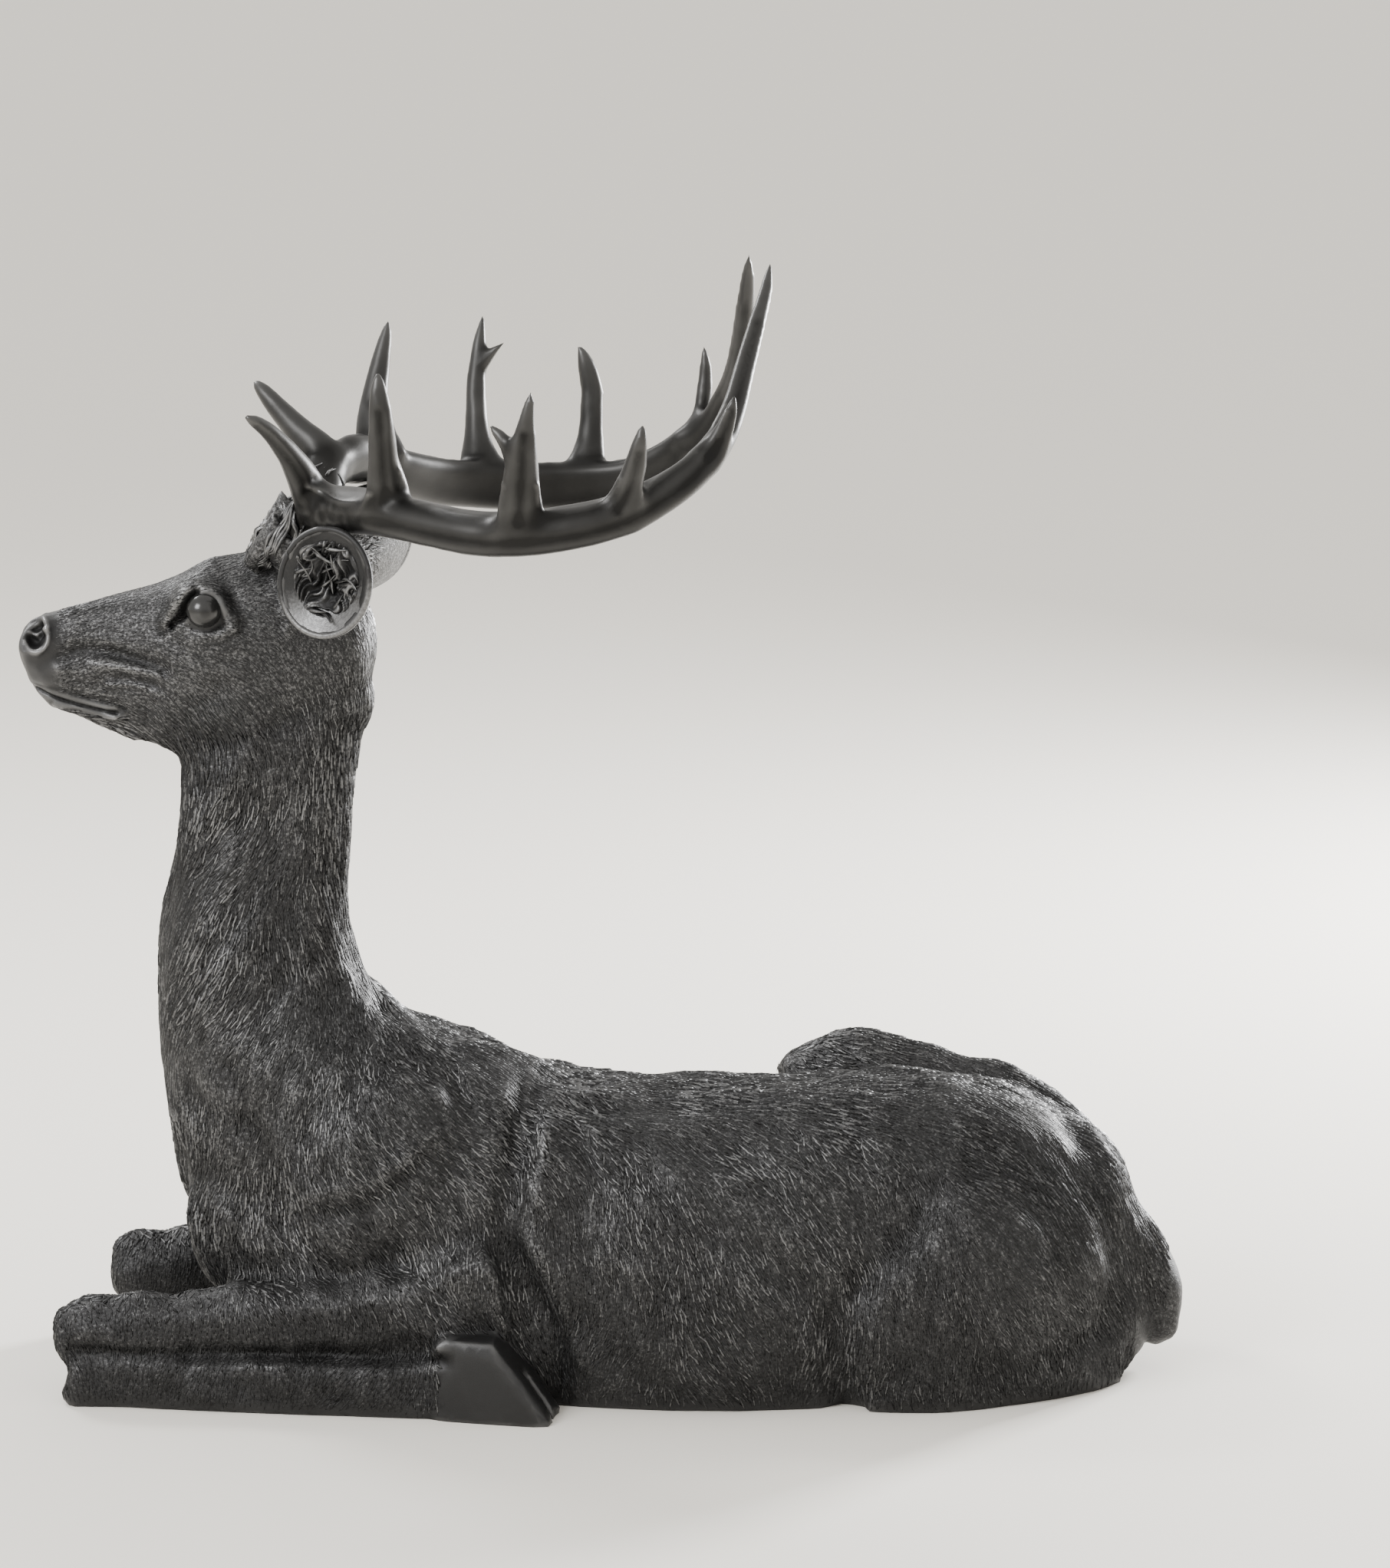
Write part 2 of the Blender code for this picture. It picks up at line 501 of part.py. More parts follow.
def thin(thing, triangles, finer=None):
    """Thins a skin's mesh to about this many triangles. finer(place) is 1 where faces are kept small."""
    now = sum(len(p.vertices) - 2 for p in thing.data.polygons)
    decimate = thing.modifiers.new("thin", "DECIMATE")
    decimate.ratio = min(1, triangles / now)
    if finer:
        group = thing.vertex_groups.new(name="finer")
        for vertex in thing.data.vertices:
            group.add([vertex.index], 0.9 - 0.8 * finer(vertex.co / SHARE), "REPLACE")
        decimate.vertex_group = group.name
        decimate.vertex_group_factor = FINER_WEIGHT
    apply_modifiers(thing)


def block(name, low, high, collection):
    """A plain box between two corners."""
    bm = bmesh.new()
    bmesh.ops.create_cube(bm, size=1)
    bm.transform(Matrix.Translation((low + high) / 2) @ Matrix.Diagonal((*(high - low), 1)))
    return as_object(name, bm, collection)


def seat_frame(side):
    """The middle of an antler's seat, and the way that its stem points."""
    foot, seat = [at(x, side * y, z) for x, y, z in (STEM_FOOT, STEM_SEAT)]
    return seat, (seat - foot).normalized()


def seat_cutter(side, cutters):
    """A round tool that faces off the top of a stem."""
    seat, up = seat_frame(side)
    height = 60 * SHARE
    bm = bmesh.new()
    bmesh.ops.create_cone(bm, cap_ends=True, segments=32, radius1=SEAT_RADIUS, radius2=SEAT_RADIUS, depth=height)
    turn = up.to_track_quat("Z", "Y").to_matrix().to_4x4()
    bm.transform(Matrix.Translation(seat + up * height / 2) @ turn)
    return as_object("seat cutter", bm, cutters)


def foot_cutter(beam, side, cutters):
    """The foot of an antler, grown all round, to clear the hair from it."""
    grow = HAIR_GAP / SHARE
    foot = [(x, y, z, thick + grow, tall + grow) for x, y, z, thick, tall in beam[:5]]
    return as_object("foot cutter", loft(antler_sections(foot, side), points=BEAM_POINTS), cutters)


def cut(thing, tool):
    """Takes the tool's shape out of a piece."""
    tool.hide_render = True
    tool.display_type = "WIRE"
    step = thing.modifiers.new("cut", "BOOLEAN")
    step.operation = "DIFFERENCE"
    step.object = tool
    step.solver = "EXACT"
    apply_modifiers(thing)
    bpy.data.objects.remove(tool)


def in_head(place):
    """How far a point of the figure belongs to the face and ears, from 0 to 1."""
    return min(1, max(0, (place.z - 800) / 60)) if place.x < -200 else 0.0


def shade(thing):
    thing.data.shade_smooth()
    thing.data.set_sharp_from_angle(angle=math.radians(50))


def make_body(collection, cutters, material):
    forms = [neck_form(), torso_form(), head_form(), tail_form(), *flesh_forms(), *stem_forms(),
             *near_hind_leg_forms(), *far_hind_leg_forms(), *forehead_tuft_forms()]
    for side, reach, ear_lean in ((-1, 0, 0), (1, 38, 24)):
        forms += foreleg_forms(side, reach) + [hoof_form(side), ear_form(side, ear_lean)]
    body = fuse("stag_body", forms, SKIN_VOXEL, collection, material)
    carve(body, BODY_STROKES + FACE_STROKES)
    coat_relief(body, height=8, length=130, width=42)
    thin(body, BODY_TRIANGLES, in_head)
    cut(body, block("ground", at(-900, -500, -300), at(900, 500, 0), cutters))
    for side, beam in ((-1, LEFT_BEAM), (1, RIGHT_BEAM)):
        cut(body, seat_cutter(side, cutters))
        cut(body, foot_cutter(beam, side, cutters))
        cut(body, cleft_cutter(side, cutters))
    shade(body)
    return body


def make_antler(name, beam, tines, side, collection, material):
    antler = fuse(name, antler_forms(beam, tines, side), ANTLER_VOXEL, collection, material)
    thin(antler, ANTLER_TRIANGLES)
    seat, up = seat_frame(side)
    cut_flat(antler, seat + up * SEAT_GAP, up)
    shade(antler)
    return antler


def main():
    clear_scene()
    stag = bpy.data.collections.new("lying stag")
    cutters = bpy.data.collections.new("cutters")
    for collection in (stag, cutters):
        bpy.context.scene.collection.children.link(collection)
    coat = iron("blackened iron", IRON_COLOUR, 0.5)
    smooth_iron = iron("smooth iron", ANTLER_COLOUR, 0.4)
    make_body(stag, cutters, coat)
    make_antler("antler_left", LEFT_BEAM, LEFT_TINES, -1, stag, smooth_iron)
    make_antler("antler_right", RIGHT_BEAM, RIGHT_TINES, 1, stag, smooth_iron)


main()
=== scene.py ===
import itertools
import math

import bmesh
import bpy
import numpy as np
from mathutils import Matrix, Vector, noise
from mathutils.bvhtree import BVHTree


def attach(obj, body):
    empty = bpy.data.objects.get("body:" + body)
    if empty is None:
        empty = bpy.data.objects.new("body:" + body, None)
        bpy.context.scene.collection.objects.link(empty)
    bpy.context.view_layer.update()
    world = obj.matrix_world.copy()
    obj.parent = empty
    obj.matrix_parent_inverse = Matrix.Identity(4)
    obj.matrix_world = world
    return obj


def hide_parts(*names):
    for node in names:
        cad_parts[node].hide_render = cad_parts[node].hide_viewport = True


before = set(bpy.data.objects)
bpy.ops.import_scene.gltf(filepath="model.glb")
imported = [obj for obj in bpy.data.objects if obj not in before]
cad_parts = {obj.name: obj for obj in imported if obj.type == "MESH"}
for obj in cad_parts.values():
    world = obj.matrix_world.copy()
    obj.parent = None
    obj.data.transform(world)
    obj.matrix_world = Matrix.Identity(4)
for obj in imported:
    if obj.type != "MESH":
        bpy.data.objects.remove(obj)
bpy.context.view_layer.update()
mm = 0.001          # sizes below are in millimetres of the statue, unless a note says otherwise
bothSides = (-1, 1)     # the stag's left is at -Y, its right at +Y
aboveGround = (20, 60)  # the heights between which the smoothing of large forms sets in
leastShare = 0.002      # smaller shares of a change count as none


# Mesh helpers

def newPiece(name, bm):
    mesh = bpy.data.meshes.new(name)
    bm.to_mesh(mesh)
    bm.free()
    return placed(name, mesh)


def placed(name, data):
    piece = bpy.data.objects.new(name, data)
    bpy.context.scene.collection.objects.link(piece)
    return piece


def bakeModifiers(piece):
    graph = bpy.context.evaluated_depsgraph_get()
    made = bpy.data.meshes.new_from_object(piece.evaluated_get(graph))
    old = piece.data
    piece.modifiers.clear()
    piece.data = made
    bpy.data.meshes.remove(old)


def castCopy(node, name):
    bm = bmesh.new()
    bm.from_mesh(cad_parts[node].data)
    bmesh.ops.remove_doubles(bm, verts=bm.verts, dist=0.02 * mm)
    return newPiece(name, bm)


def keepAbove(piece, point, normal):    # cuts off what lies behind a plane, and closes the cut
    bm = bmesh.new()
    bm.from_mesh(piece.data)
    geometry = bm.verts[:] + bm.edges[:] + bm.faces[:]
    made = bmesh.ops.bisect_plane(bm, geom=geometry, plane_co=point, plane_no=normal, clear_inner=True)
    rim = [e for e in made["geom_cut"] if isinstance(e, bmesh.types.BMEdge)]
    bmesh.ops.holes_fill(bm, edges=rim)
    bm.to_mesh(piece.data)
    bm.free()


def remesh(piece, voxel):
    step = piece.modifiers.new("one skin", "REMESH")
    step.mode = "VOXEL"
    step.voxel_size = voxel * mm
    bakeModifiers(piece)


def readMesh(mesh):
    places = np.empty(len(mesh.vertices) * 3, np.float32)
    mesh.vertices.foreach_get("co", places)
    edges = np.empty(len(mesh.edges) * 2, np.int32)
    mesh.edges.foreach_get("vertices", edges)
    return places.reshape(-1, 3).astype(float) / mm, edges.reshape(-1, 2)


def readNormals(mesh):
    normals = np.empty(len(mesh.vertices) * 3, np.float32)
    mesh.vertices.foreach_get("normal", normals)
    return normals.reshape(-1, 3).astype(float)


def writePlaces(mesh, places):
    mesh.vertices.foreach_set("co", (places * mm).astype(np.float32).ravel())
    mesh.update()


def writeValues(mesh, name, values):
    layer = mesh.attributes.get(name) or mesh.attributes.new(name, "FLOAT", "POINT")
    layer.data.foreach_set("value", values.astype(np.float32))


def ramp(values, low, high):
    share = np.clip((values - low) / (high - low), 0, 1)
    return share * share * (3 - 2 * share)


def relaxed(places, edges, rounds, amount):     # each point moves towards the mean of its neighbours
    count = len(places)
    ends = edges.ravel()
    others = edges[:, ::-1].ravel()
    share = np.bincount(ends, minlength=count)[:, None]
    for _ in range(rounds):
        sums = np.stack([np.bincount(ends, places[others, axis], count) for axis in range(3)], axis=1)
        places = places + (sums / share - places) * amount
    return places


def softened(places, edges, rounds, amount):    # relaxed twice, so that round forms don't shrink
    once = relaxed(places, edges, rounds, amount)
    return 2 * once - relaxed(once, edges, rounds, amount)


def partOf(inside, edges):      # the edges between the chosen points, numbered among themselves
    number = np.full(len(inside), -1)
    number[inside] = np.arange(inside.sum())
    linked = number[edges]
    return linked[(linked >= 0).all(1)]


def filled(places, edges, normals, share, rounds):      # fills the hollows and leaves the crests
    inside = share > leastShare
    part = places[inside]
    rise = ((relaxed(part, partOf(inside, edges), rounds, 0.5) - part) * normals[inside]).sum(1)
    places = places.copy()
    places[inside] += normals[inside] * (np.clip(rise, 0, None) * share[inside])[:, None]
    return places


def thin(piece, triangles, fine=None):      # fine is 1 where faces stay small
    now = sum(len(p.vertices) - 2 for p in piece.data.polygons)
    step = piece.modifiers.new("thin", "DECIMATE")
    step.ratio = min(1, triangles / now)
    if fine is not None:
        group = piece.vertex_groups.new(name="fine")
        levels = np.round(fine * 8).astype(int)     # nine groups of vertices, thinned less and less
        for level in range(9):
            group.add(np.flatnonzero(levels == level).tolist(), 0.9 - 0.8 * level / 8, "REPLACE")
        step.vertex_group = group.name
        step.vertex_group_factor = 0.1
    bakeModifiers(piece)
    piece.vertex_groups.clear()


def pathCurve(path, steps=8):       # a smooth curve through a few points
    rows = np.array(path, float)
    if len(rows) < 3:
        return rows
    padded = np.vstack([2 * rows[0] - rows[1], rows, 2 * rows[-1] - rows[-2]])
    found = []
    for i in range(1, len(padded) - 2):
        p0, p1, p2, p3 = padded[i - 1:i + 3]
        for t in np.arange(steps) / steps:
            found.append(0.5 * (2 * p1 + (p2 - p0) * t + (2 * p0 - 5 * p1 + 4 * p2 - p3) * t ** 2
                                + (3 * p1 - p0 - 3 * p2 + p3) * t ** 3))
    return np.array(found + [rows[-1]])


def pathDistance(points, path):
    nearest = np.full(len(points), 1e9)
    for start, end in zip(path, path[1:]):
        run = end - start
        share = np.clip(((points - start) @ run) / max(run @ run, 1e-9), 0, 1)
        nearest = np.minimum(nearest, np.linalg.norm(points - start - share[:, None] * run, axis=1))
    return nearest


def sideDistance(places, path):     # how far each place lies from a path, as seen from the side
    return pathDistance(places[:, [0, 2]], pathCurve(path))


def relaxedAlong(places, edges, path, reach, rounds):       # evens out a crease along a path
    away = sideDistance(places, path)
    weight = np.exp(-(away / reach) ** 2) * ramp(places[:, 2], *aboveGround)
    inside = weight > leastShare
    places = places.copy()
    places[inside] = relaxed(places[inside], partOf(inside, edges), rounds, 0.5 * weight[inside][:, None])
    return places


def carved(places, normals, strokes):       # stroke: path from the side, half width, height, side if one only
    places = places.copy()
    for path, halfWidth, height, *sides in strokes:
        line = pathCurve(path)
        seen = places[:, [0, 2]]
        reach = 3 * halfWidth
        near = np.flatnonzero(((seen > line.min(0) - reach) & (seen < line.max(0) + reach)).all(1))
        weight = np.exp(-(pathDistance(seen[near], line) / halfWidth) ** 2)
        for side in sides or bothSides:
            facing = np.clip(normals[near, 1] * side * 1.6, 0, 1)       # fades where the skin turns away
            facing *= places[near, 1] * side > 3
            places[near] += normals[near] * (weight * facing * height)[:, None]
    return places


# The way the coat lies

coat = {
    "spread": 75,           # how far one combing mark reaches
    "swirl": 22,            # degrees that the hair turns either way in clumps
    "swirlSize": 130,
    "scatter": 10,          # degrees from hair to hair
    "groundShade": 0.2,     # painted shade: how much darker the coat is at the ground than above groundReach
    "groundReach": (20, 300),
    "under": 0.06,          # painted shade: how much darker the skin is than the hairs on it
    "combing": [            # x, z and the angle of the hair's run, seen from the left, from +X up towards +Z
        (-650, 880, 8), (-600, 930, 20), (-560, 860, -6), (-520, 960, 26), (-500, 880, -12),
        (-480, 800, -40), (-440, 990, 55), (-400, 920, -25), (-400, 850, -62), (-350, 1010, 75),
        (-330, 930, -70), (-320, 840, -95), (-500, 700, -97), (-510, 600, -100), (-405, 713, -126),
        (-424, 547, -124), (-369, 446, -126), (-300, 650, -92), (-290, 540, -84), (-300, 750, -98),
        (-200, 430, -72), (-120, 400, -48), (-479, 437, -108), (-500, 300, -92), (-450, 200, -86),
        (-380, 330, -96), (-300, 300, -84), (-230, 260, -78), (-200, 150, -66), (-170, 340, -62),
        (-120, 250, -70), (-120, 130, -50), (-300, 160, -78), (-360, 120, -70), (-450, 95, -60),
        (-560, 95, -70), (-500, 40, -128), (-330, 45, -136), (-620, 60, -70), (-40, 300, -80),
        (-60, 200, -104), (-20, 120, -110), (0, 360, -44), (90, 350, -38), (60, 300, -46), (50, 230, -84),
        (60, 140, -96), (60, 60, -80), (160, 340, -36), (160, 270, -52), (150, 190, -74), (160, 100, -66),
        (250, 350, -32), (260, 280, -58), (240, 200, -66), (250, 120, -62), (330, 230, -116),
        (320, 160, -122), (350, 90, -104), (400, 350, -30), (400, 280, -52), (420, 200, -74),
        (440, 110, -78), (420, 40, -60), (500, 320, -44), (520, 240, -58), (540, 150, -66),
        (520, 60, -58), (580, 280, -50), (620, 200, -62), (600, 100, -70), (680, 120, -78), (680, 50, -86)],
}


def lieAngle(places):       # the coat's angle at each place, in degrees
    marks = np.array(coat["combing"], float)
    angles = np.radians(marks[:, 2])
    total = np.zeros((len(places), 2))
    for (x, z, _), angle in zip(marks, angles):
        away = (places[:, 0] - x) ** 2 + (places[:, 2] - z) ** 2
        weight = np.exp(-away / (2 * coat["spread"] ** 2)) + 1e-9
        total += weight[:, None] * (math.cos(angle), math.sin(angle))
    return np.degrees(np.arctan2(total[:, 1], total[:, 0]))


def noiseAt(places, size, shift=0):
    return np.array([noise.noise(Vector(place) / size + Vector((shift, 0, 0))) for place in places])


# The figure's parts that carry no long hair

figure = {
    "eye": (-465, 946), "eyeRadius": 21, "eyeStands": 13.5, "lidReach": (24, 34),
    "nostril": (-670, 909), "noseFront": (-655, -633), "noseAbove": 800,
    "lips": ((-690, 848), (-640, 829), (-575, 813)), "lipReach": (6, 13),
    "hoofTop": ((-192, 98), (-178, 106), (-122, 104), (-46, 14)), "hoofInner": 160,
    "soleTop": (8, 17),     # the strip by the ground that carries no hair
    "earCentre": ((-315, 995), (-291, 995)), "earOut": 182, "earTall": 67, "earWide": 57, "earSlant": 0.5,
    "earCup": (-80, 14), "earShell": (-58, 24), "earShellReach": 1.16,      # from behind the rim to before it
}


def earFrame(side):     # the middle of an ear's rim, its axes across and up, and the way that it opens
    x, z = figure["earCentre"][0 if side < 0 else 1]
    centre = Vector((x, side * figure["earOut"], z))
    across = Vector((figure["earWide"], side * figure["earWide"] * figure["earSlant"], 0))
    up = Vector((figure["earWide"] * 0.1, 0, figure["earTall"]))
    opens = up.cross(across) * side
    return centre, across, up, opens.normalized()


def earPlaces(places, side):    # how far places lie from an ear's middle, 1 at its rim, and before its rim
    centre, across, up, opens = earFrame(side)
    away = places - np.array(centre)
    a = away @ np.array(across) / across.length_squared
    b = away @ np.array(up) / up.length_squared
    return np.hypot(a, b), away @ np.array(opens), np.array(opens)


def inEar(places, normals):     # 1 inside the cup of either ear and on its rolled rim
    low, high = figure["earCup"]
    found = np.zeros(len(places))
    for side in bothSides:
        reach, depth, opens = earPlaces(places, side)
        found = np.maximum(found, (reach < 1) & (depth > low) & (depth < high) & (normals @ opens > -0.15))
    return found


def onEar(places):      # 1 on either ear, its back too
    low, high = figure["earShell"]
    found = np.zeros(len(places))
    for side in bothSides:
        reach, depth, _ = earPlaces(places, side)
        found = np.maximum(found, (reach < figure["earShellReach"]) & (depth > low) & (depth < high))
    return found


def onHoof(places):     # 1 on the hooves, within their outline as seen from the side
    x, y, z = places.T
    spots, tops = zip(*figure["hoofTop"])
    inside = (x > spots[0]) & (x < spots[-1]) & (z < np.interp(x, spots, tops))
    return (inside & (np.abs(y) > figure["hoofInner"])).astype(float)


def bareSkin(places, normals):      # 1 where the iron carries no hair, as on the nose, lips, lids and hooves
    x, _, z = places.T
    eyeX, eyeZ = figure["eye"]
    lids = 1 - ramp(np.hypot(x - eyeX, (z - eyeZ) * 1.2), *figure["lidReach"])
    nose = (1 - ramp(x, *figure["noseFront"])) * (z > figure["noseAbove"])
    lips = 1 - ramp(sideDistance(places, figure["lips"]), *figure["lipReach"])
    sole = 1 - ramp(z, *figure["soleTop"])
    return np.max([lids, nose, lips, onHoof(places), sole, inEar(places, normals)], axis=0)


def groundShade(z):     # painted shade: the coat is darker towards the ground
    return 1 - coat["groundShade"] * (1 - ramp(z, *coat["groundReach"]))


def crestOf(places, edges, normals, rounds, height):    # 0.5 on even ground, up to 1 on crests, 0 in hollows; as colour, a painted highlight on crests and painted shade in hollows
    away = ((places - relaxed(places, edges, rounds, 0.5)) * normals).sum(1)
    return np.clip(0.5 + away / height / 2, 0, 1)


# The skin of the body

body = {
    "voxel": 3.0, "cutHeight": 762, "triangles": 84000,
    "softRounds": 34, "soleSoftness": 0.3, "soleTop": 30,
    "hoofSpan": (-200, -36), "hoofBelow": 116, "hoofOutside": 150, "hoofSoftness": 0.12,
    "haunchRounds": 60, "haunchStart": (170, 280),
    "rumpFrom": (430, 520), "rumpAbove": (130, 220), "rumpRounds": 420, "rumpFills": 3,
    "creases": (((485, 250), (512, 222), (530, 196)), ((566, 245), (588, 212), (600, 170), (602, 118))),
    "creaseRounds": 260, "creaseReach": 20,
    "clumps": ((105, 27, 4.2), (46, 12, 2.0)),      # length, width and height of the coat's clumps
    "lies": (-35, -65, -95, -125), "liesApart": 18,     # the angles of hair that clumps are made for
    "clumpsFrom": (4, 30),
    "crestRounds": 14, "crestHeight": 3.2, "fineAbove": 6, "coarse": 0.3,
}

bodyStrokes = [     # folds of the elbow, the haunch, the forelegs and the flank
    ([(-83, 392), (-106, 252), (-102, 205), (-75, 129), (-57, 91), (-50, 20)], 8, 2.5),
    ([(-110, 300), (-124, 230), (-112, 170), (-90, 120)], 20, -3, -1),
    ([(-60, 350), (-84, 240), (-74, 190), (-46, 120)], 12, 4),
    ([(378, 240), (333, 189), (300, 142), (276, 95), (290, 0)], 14, -1, -1),
    ([(345, 225), (320, 160), (300, 120)], 14, 2, -1),
    ([(-630, 69), (-500, 68), (-330, 70), (-185, 74)], 6, -2.5),
    ([(-20, 250), (60, 236), (120, 190)], 22, -3),
    ([(10, 190), (70, 160), (110, 110)], 20, 4),
    ([(-440, 400), (-400, 300), (-385, 220)], 14, -5),
    ([(-200, 330), (-270, 280), (-330, 262)], 12, 4),
    ([(-210, 300), (-270, 252), (-340, 236)], 12, -4),
]


def clumpRelief(places, normals):
    x, y, z = places.T
    angle = lieAngle(places)
    shares = np.array([np.exp(-((angle - lie) / body["liesApart"]) ** 2) for lie in body["lies"]]) + 1e-6
    shares /= shares.sum(0)
    height = np.zeros(len(places))
    for order, (length, width, tall) in enumerate(body["clumps"]):
        for share, lie in zip(shares, body["lies"]):
            c = math.cos(math.radians(lie))
            s = math.sin(math.radians(lie))
            used = np.flatnonzero(share > 0.02)
            along = x * c + z * s
            over = z * c - x * s
            spots = np.stack([along / length + 7 * order, over / width, y / width * 0.6], 1)
            height[used] += share[used] * tall * np.array([noise.noise(Vector(spot)) for spot in spots[used]])
    return height * (1 - bareSkin(places, normals))


def makeBody():
    piece = castCopy("stag_body", "coat_body")
    keepAbove(piece, (0, 0, body["cutHeight"] * mm), (0, 0, -1))
    remesh(piece, body["voxel"])
    places, edges = readMesh(piece.data)
    x, y, z = places.T
    low, high = body["hoofSpan"]
    hoof = (x > low) & (x < high) & (z < body["hoofBelow"]) & (np.abs(y) > body["hoofOutside"])
    sole = body["soleSoftness"]
    softness = np.where(hoof, body["hoofSoftness"], 1) * (sole + (1 - sole) * ramp(z, 0, body["soleTop"]))
    places = softened(places, edges, body["softRounds"], 0.5 * softness[:, None])
    haunch = ramp(places[:, 0], *body["haunchStart"]) * ramp(places[:, 2], *aboveGround)
    places = softened(places, edges, body["haunchRounds"], 0.5 * haunch[:, None])
    for _ in range(body["rumpFills"]):      # one round rump between the hip bones and the spine
        writePlaces(piece.data, places)
        rump = ramp(places[:, 0], *body["rumpFrom"]) * ramp(places[:, 2], *body["rumpAbove"])
        places = filled(places, edges, readNormals(piece.data), rump, body["rumpRounds"] // body["rumpFills"])
    for path in body["creases"]:
        places = relaxedAlong(places, edges, path, body["creaseReach"], body["creaseRounds"])
    places[:, 2] = np.maximum(places[:, 2], 0)
    writePlaces(piece.data, places)
    normals = readNormals(piece.data)
    places = carved(places, normals, bodyStrokes)
    places += normals * (clumpRelief(places, normals) * ramp(places[:, 2], *body["clumpsFrom"]))[:, None]
    places[:, 2] = np.maximum(places[:, 2], 0)
    writePlaces(piece.data, places)
    # painted light: lighter on crests and darker in hollows, with painted shade on the skin under the hairs
    # and towards the ground
    crest = crestOf(places, edges, readNormals(piece.data), body["crestRounds"], body["crestHeight"])
    furred = 1 - bareSkin(places, normals)
    writeValues(piece.data, "crest", (crest - coat["under"] * furred) * groundShade(places[:, 2]))
    writeValues(piece.data, "furred", furred)
    fine = np.where(places[:, 2] > body["fineAbove"], 1.0, body["coarse"])
    thin(piece, body["triangles"], fine)
    return piece


# The head

head = {
    "voxel": 1.7, "cutHeight": 726, "triangles": 120000, "softRounds": 26,
    "throat": ((-500, 790), (-492, 772), (-490, 750)), "throatReach": 20, "throatRounds": 260,
    "neckTop": (770, 860), "crestRounds": 22, "crestHeight": 3.2,
    "fineAbove": 790, "fineBefore": -400, "coarse": 0.55,
}

eyeStrokes = [
    ([(-480, 944), (-466, 946), (-452, 943)], 17, -2),     # hollow for the eyeball
    ([(-508, 924), (-492, 938), (-483, 957), (-474, 969)], 4.2, -8),     # shadow under the brow
    ([(-506, 932), (-500, 949), (-484, 977), (-462, 992)], 9, 4),     # brow
    ([(-473, 971), (-462, 970), (-449, 963), (-442, 948), (-438, 936), (-429, 925)], 6.4, 3.8),  # upper lid
    ([(-462, 986), (-440, 974), (-426, 948)], 7, -0.8),     # fold over the lid
    ([(-496, 927), (-474, 918), (-452, 917), (-432, 924)], 6.6, 3.6),     # lower lid
    ([(-480, 902), (-452, 899), (-428, 908)], 12, 2.4),
    ([(-506, 924), (-516, 916)], 4, -3),     # tear groove
]


def ellipse(centre, radiusX, radiusZ, start=0, end=360):
    return [(centre[0] + radiusX * math.cos(math.radians(a)), centre[1] + radiusZ * math.sin(math.radians(a)))
            for a in np.linspace(start, end, 13)]


faceStrokes = [
    (ellipse(figure["nostril"], 6, 8), 8, -8),     # the nostril
    (ellipse(figure["nostril"], 15.5, 20, -150, 150), 3.0, 3.8),     # its rim
    ([(-678, 908), (-670, 905), (-663, 909), (-656, 916)], 3.2, 5),     # the fold in it
    ([(-645, 930), (-641, 905), (-650, 884), (-664, 874)], 9, -2),
    ([(-686, 847), (-672, 842), (-643, 830), (-596, 817), (-577, 814)], 2.4, -4.5),     # mouth
    ([(-686, 855), (-640, 838), (-600, 825), (-578, 821)], 4.5, 2.2),
    ([(-650, 824), (-625, 815), (-600, 810), (-578, 808)], 3.2, 3.4),     # lower lip
    ([(-660, 812), (-620, 803), (-585, 797)], 6, -1.2),
    ([(-571, 820), (-564, 808)], 6, -1.6),
    ([(-640, 884), (-615, 892), (-580, 890), (-545, 880), (-515, 872)], 8, -4),     # cheek folds
    ([(-602, 876), (-560, 874), (-525, 866)], 7, 2.6),
    ([(-588, 862), (-550, 858), (-520, 850)], 6, -2.2),
    ([(-585, 850), (-560, 852), (-540, 850)], 4, 2.4),
    ([(-640, 868), (-600, 862), (-575, 852)], 9, 3),
    ([(-640, 925), (-580, 934), (-530, 944)], 16, 1.6),     # the snout's side, lit from above
    ([(-507, 792), (-486, 822), (-450, 852)], 14, -1.5),     # the jaw's edge
    ([(-520, 905), (-480, 880), (-430, 872)], 14, 1.6),     # cheekbone
    ([(-372, 946), (-364, 934), (-368, 922)], 6, 2.5),
]


def makeHead():
    piece = castCopy("stag_body", "coat_head")
    keepAbove(piece, (0, 0, head["cutHeight"] * mm), (0, 0, 1))
    remesh(piece, head["voxel"])
    places, edges = readMesh(piece.data)
    places = softened(places, edges, head["softRounds"], 0.5)
    places = relaxedAlong(places, edges, head["throat"], head["throatReach"], head["throatRounds"])
    writePlaces(piece.data, places)
    normals = readNormals(piece.data)
    places = carved(places, normals, eyeStrokes + faceStrokes)
    neck = 1 - ramp(places[:, 2], *head["neckTop"])
    places += normals * (clumpRelief(places, normals) * neck)[:, None]
    writePlaces(piece.data, places)
    # painted light: lighter on crests and darker in hollows, with painted shade on the neck's skin under the
    # hairs
    crest = crestOf(places, edges, readNormals(piece.data), head["crestRounds"], head["crestHeight"])
    furred = 1 - bareSkin(places, normals)
    writeValues(piece.data, "crest", crest - coat["under"] * furred * neck)
    writeValues(piece.data, "furred", furred)
    face = (places[:, 2] > head["fineAbove"]) & (places[:, 0] < head["fineBefore"])
    fine = np.where(face, 1.0, head["coarse"])
    thin(piece, head["triangles"], fine)
    return piece


# The antlers

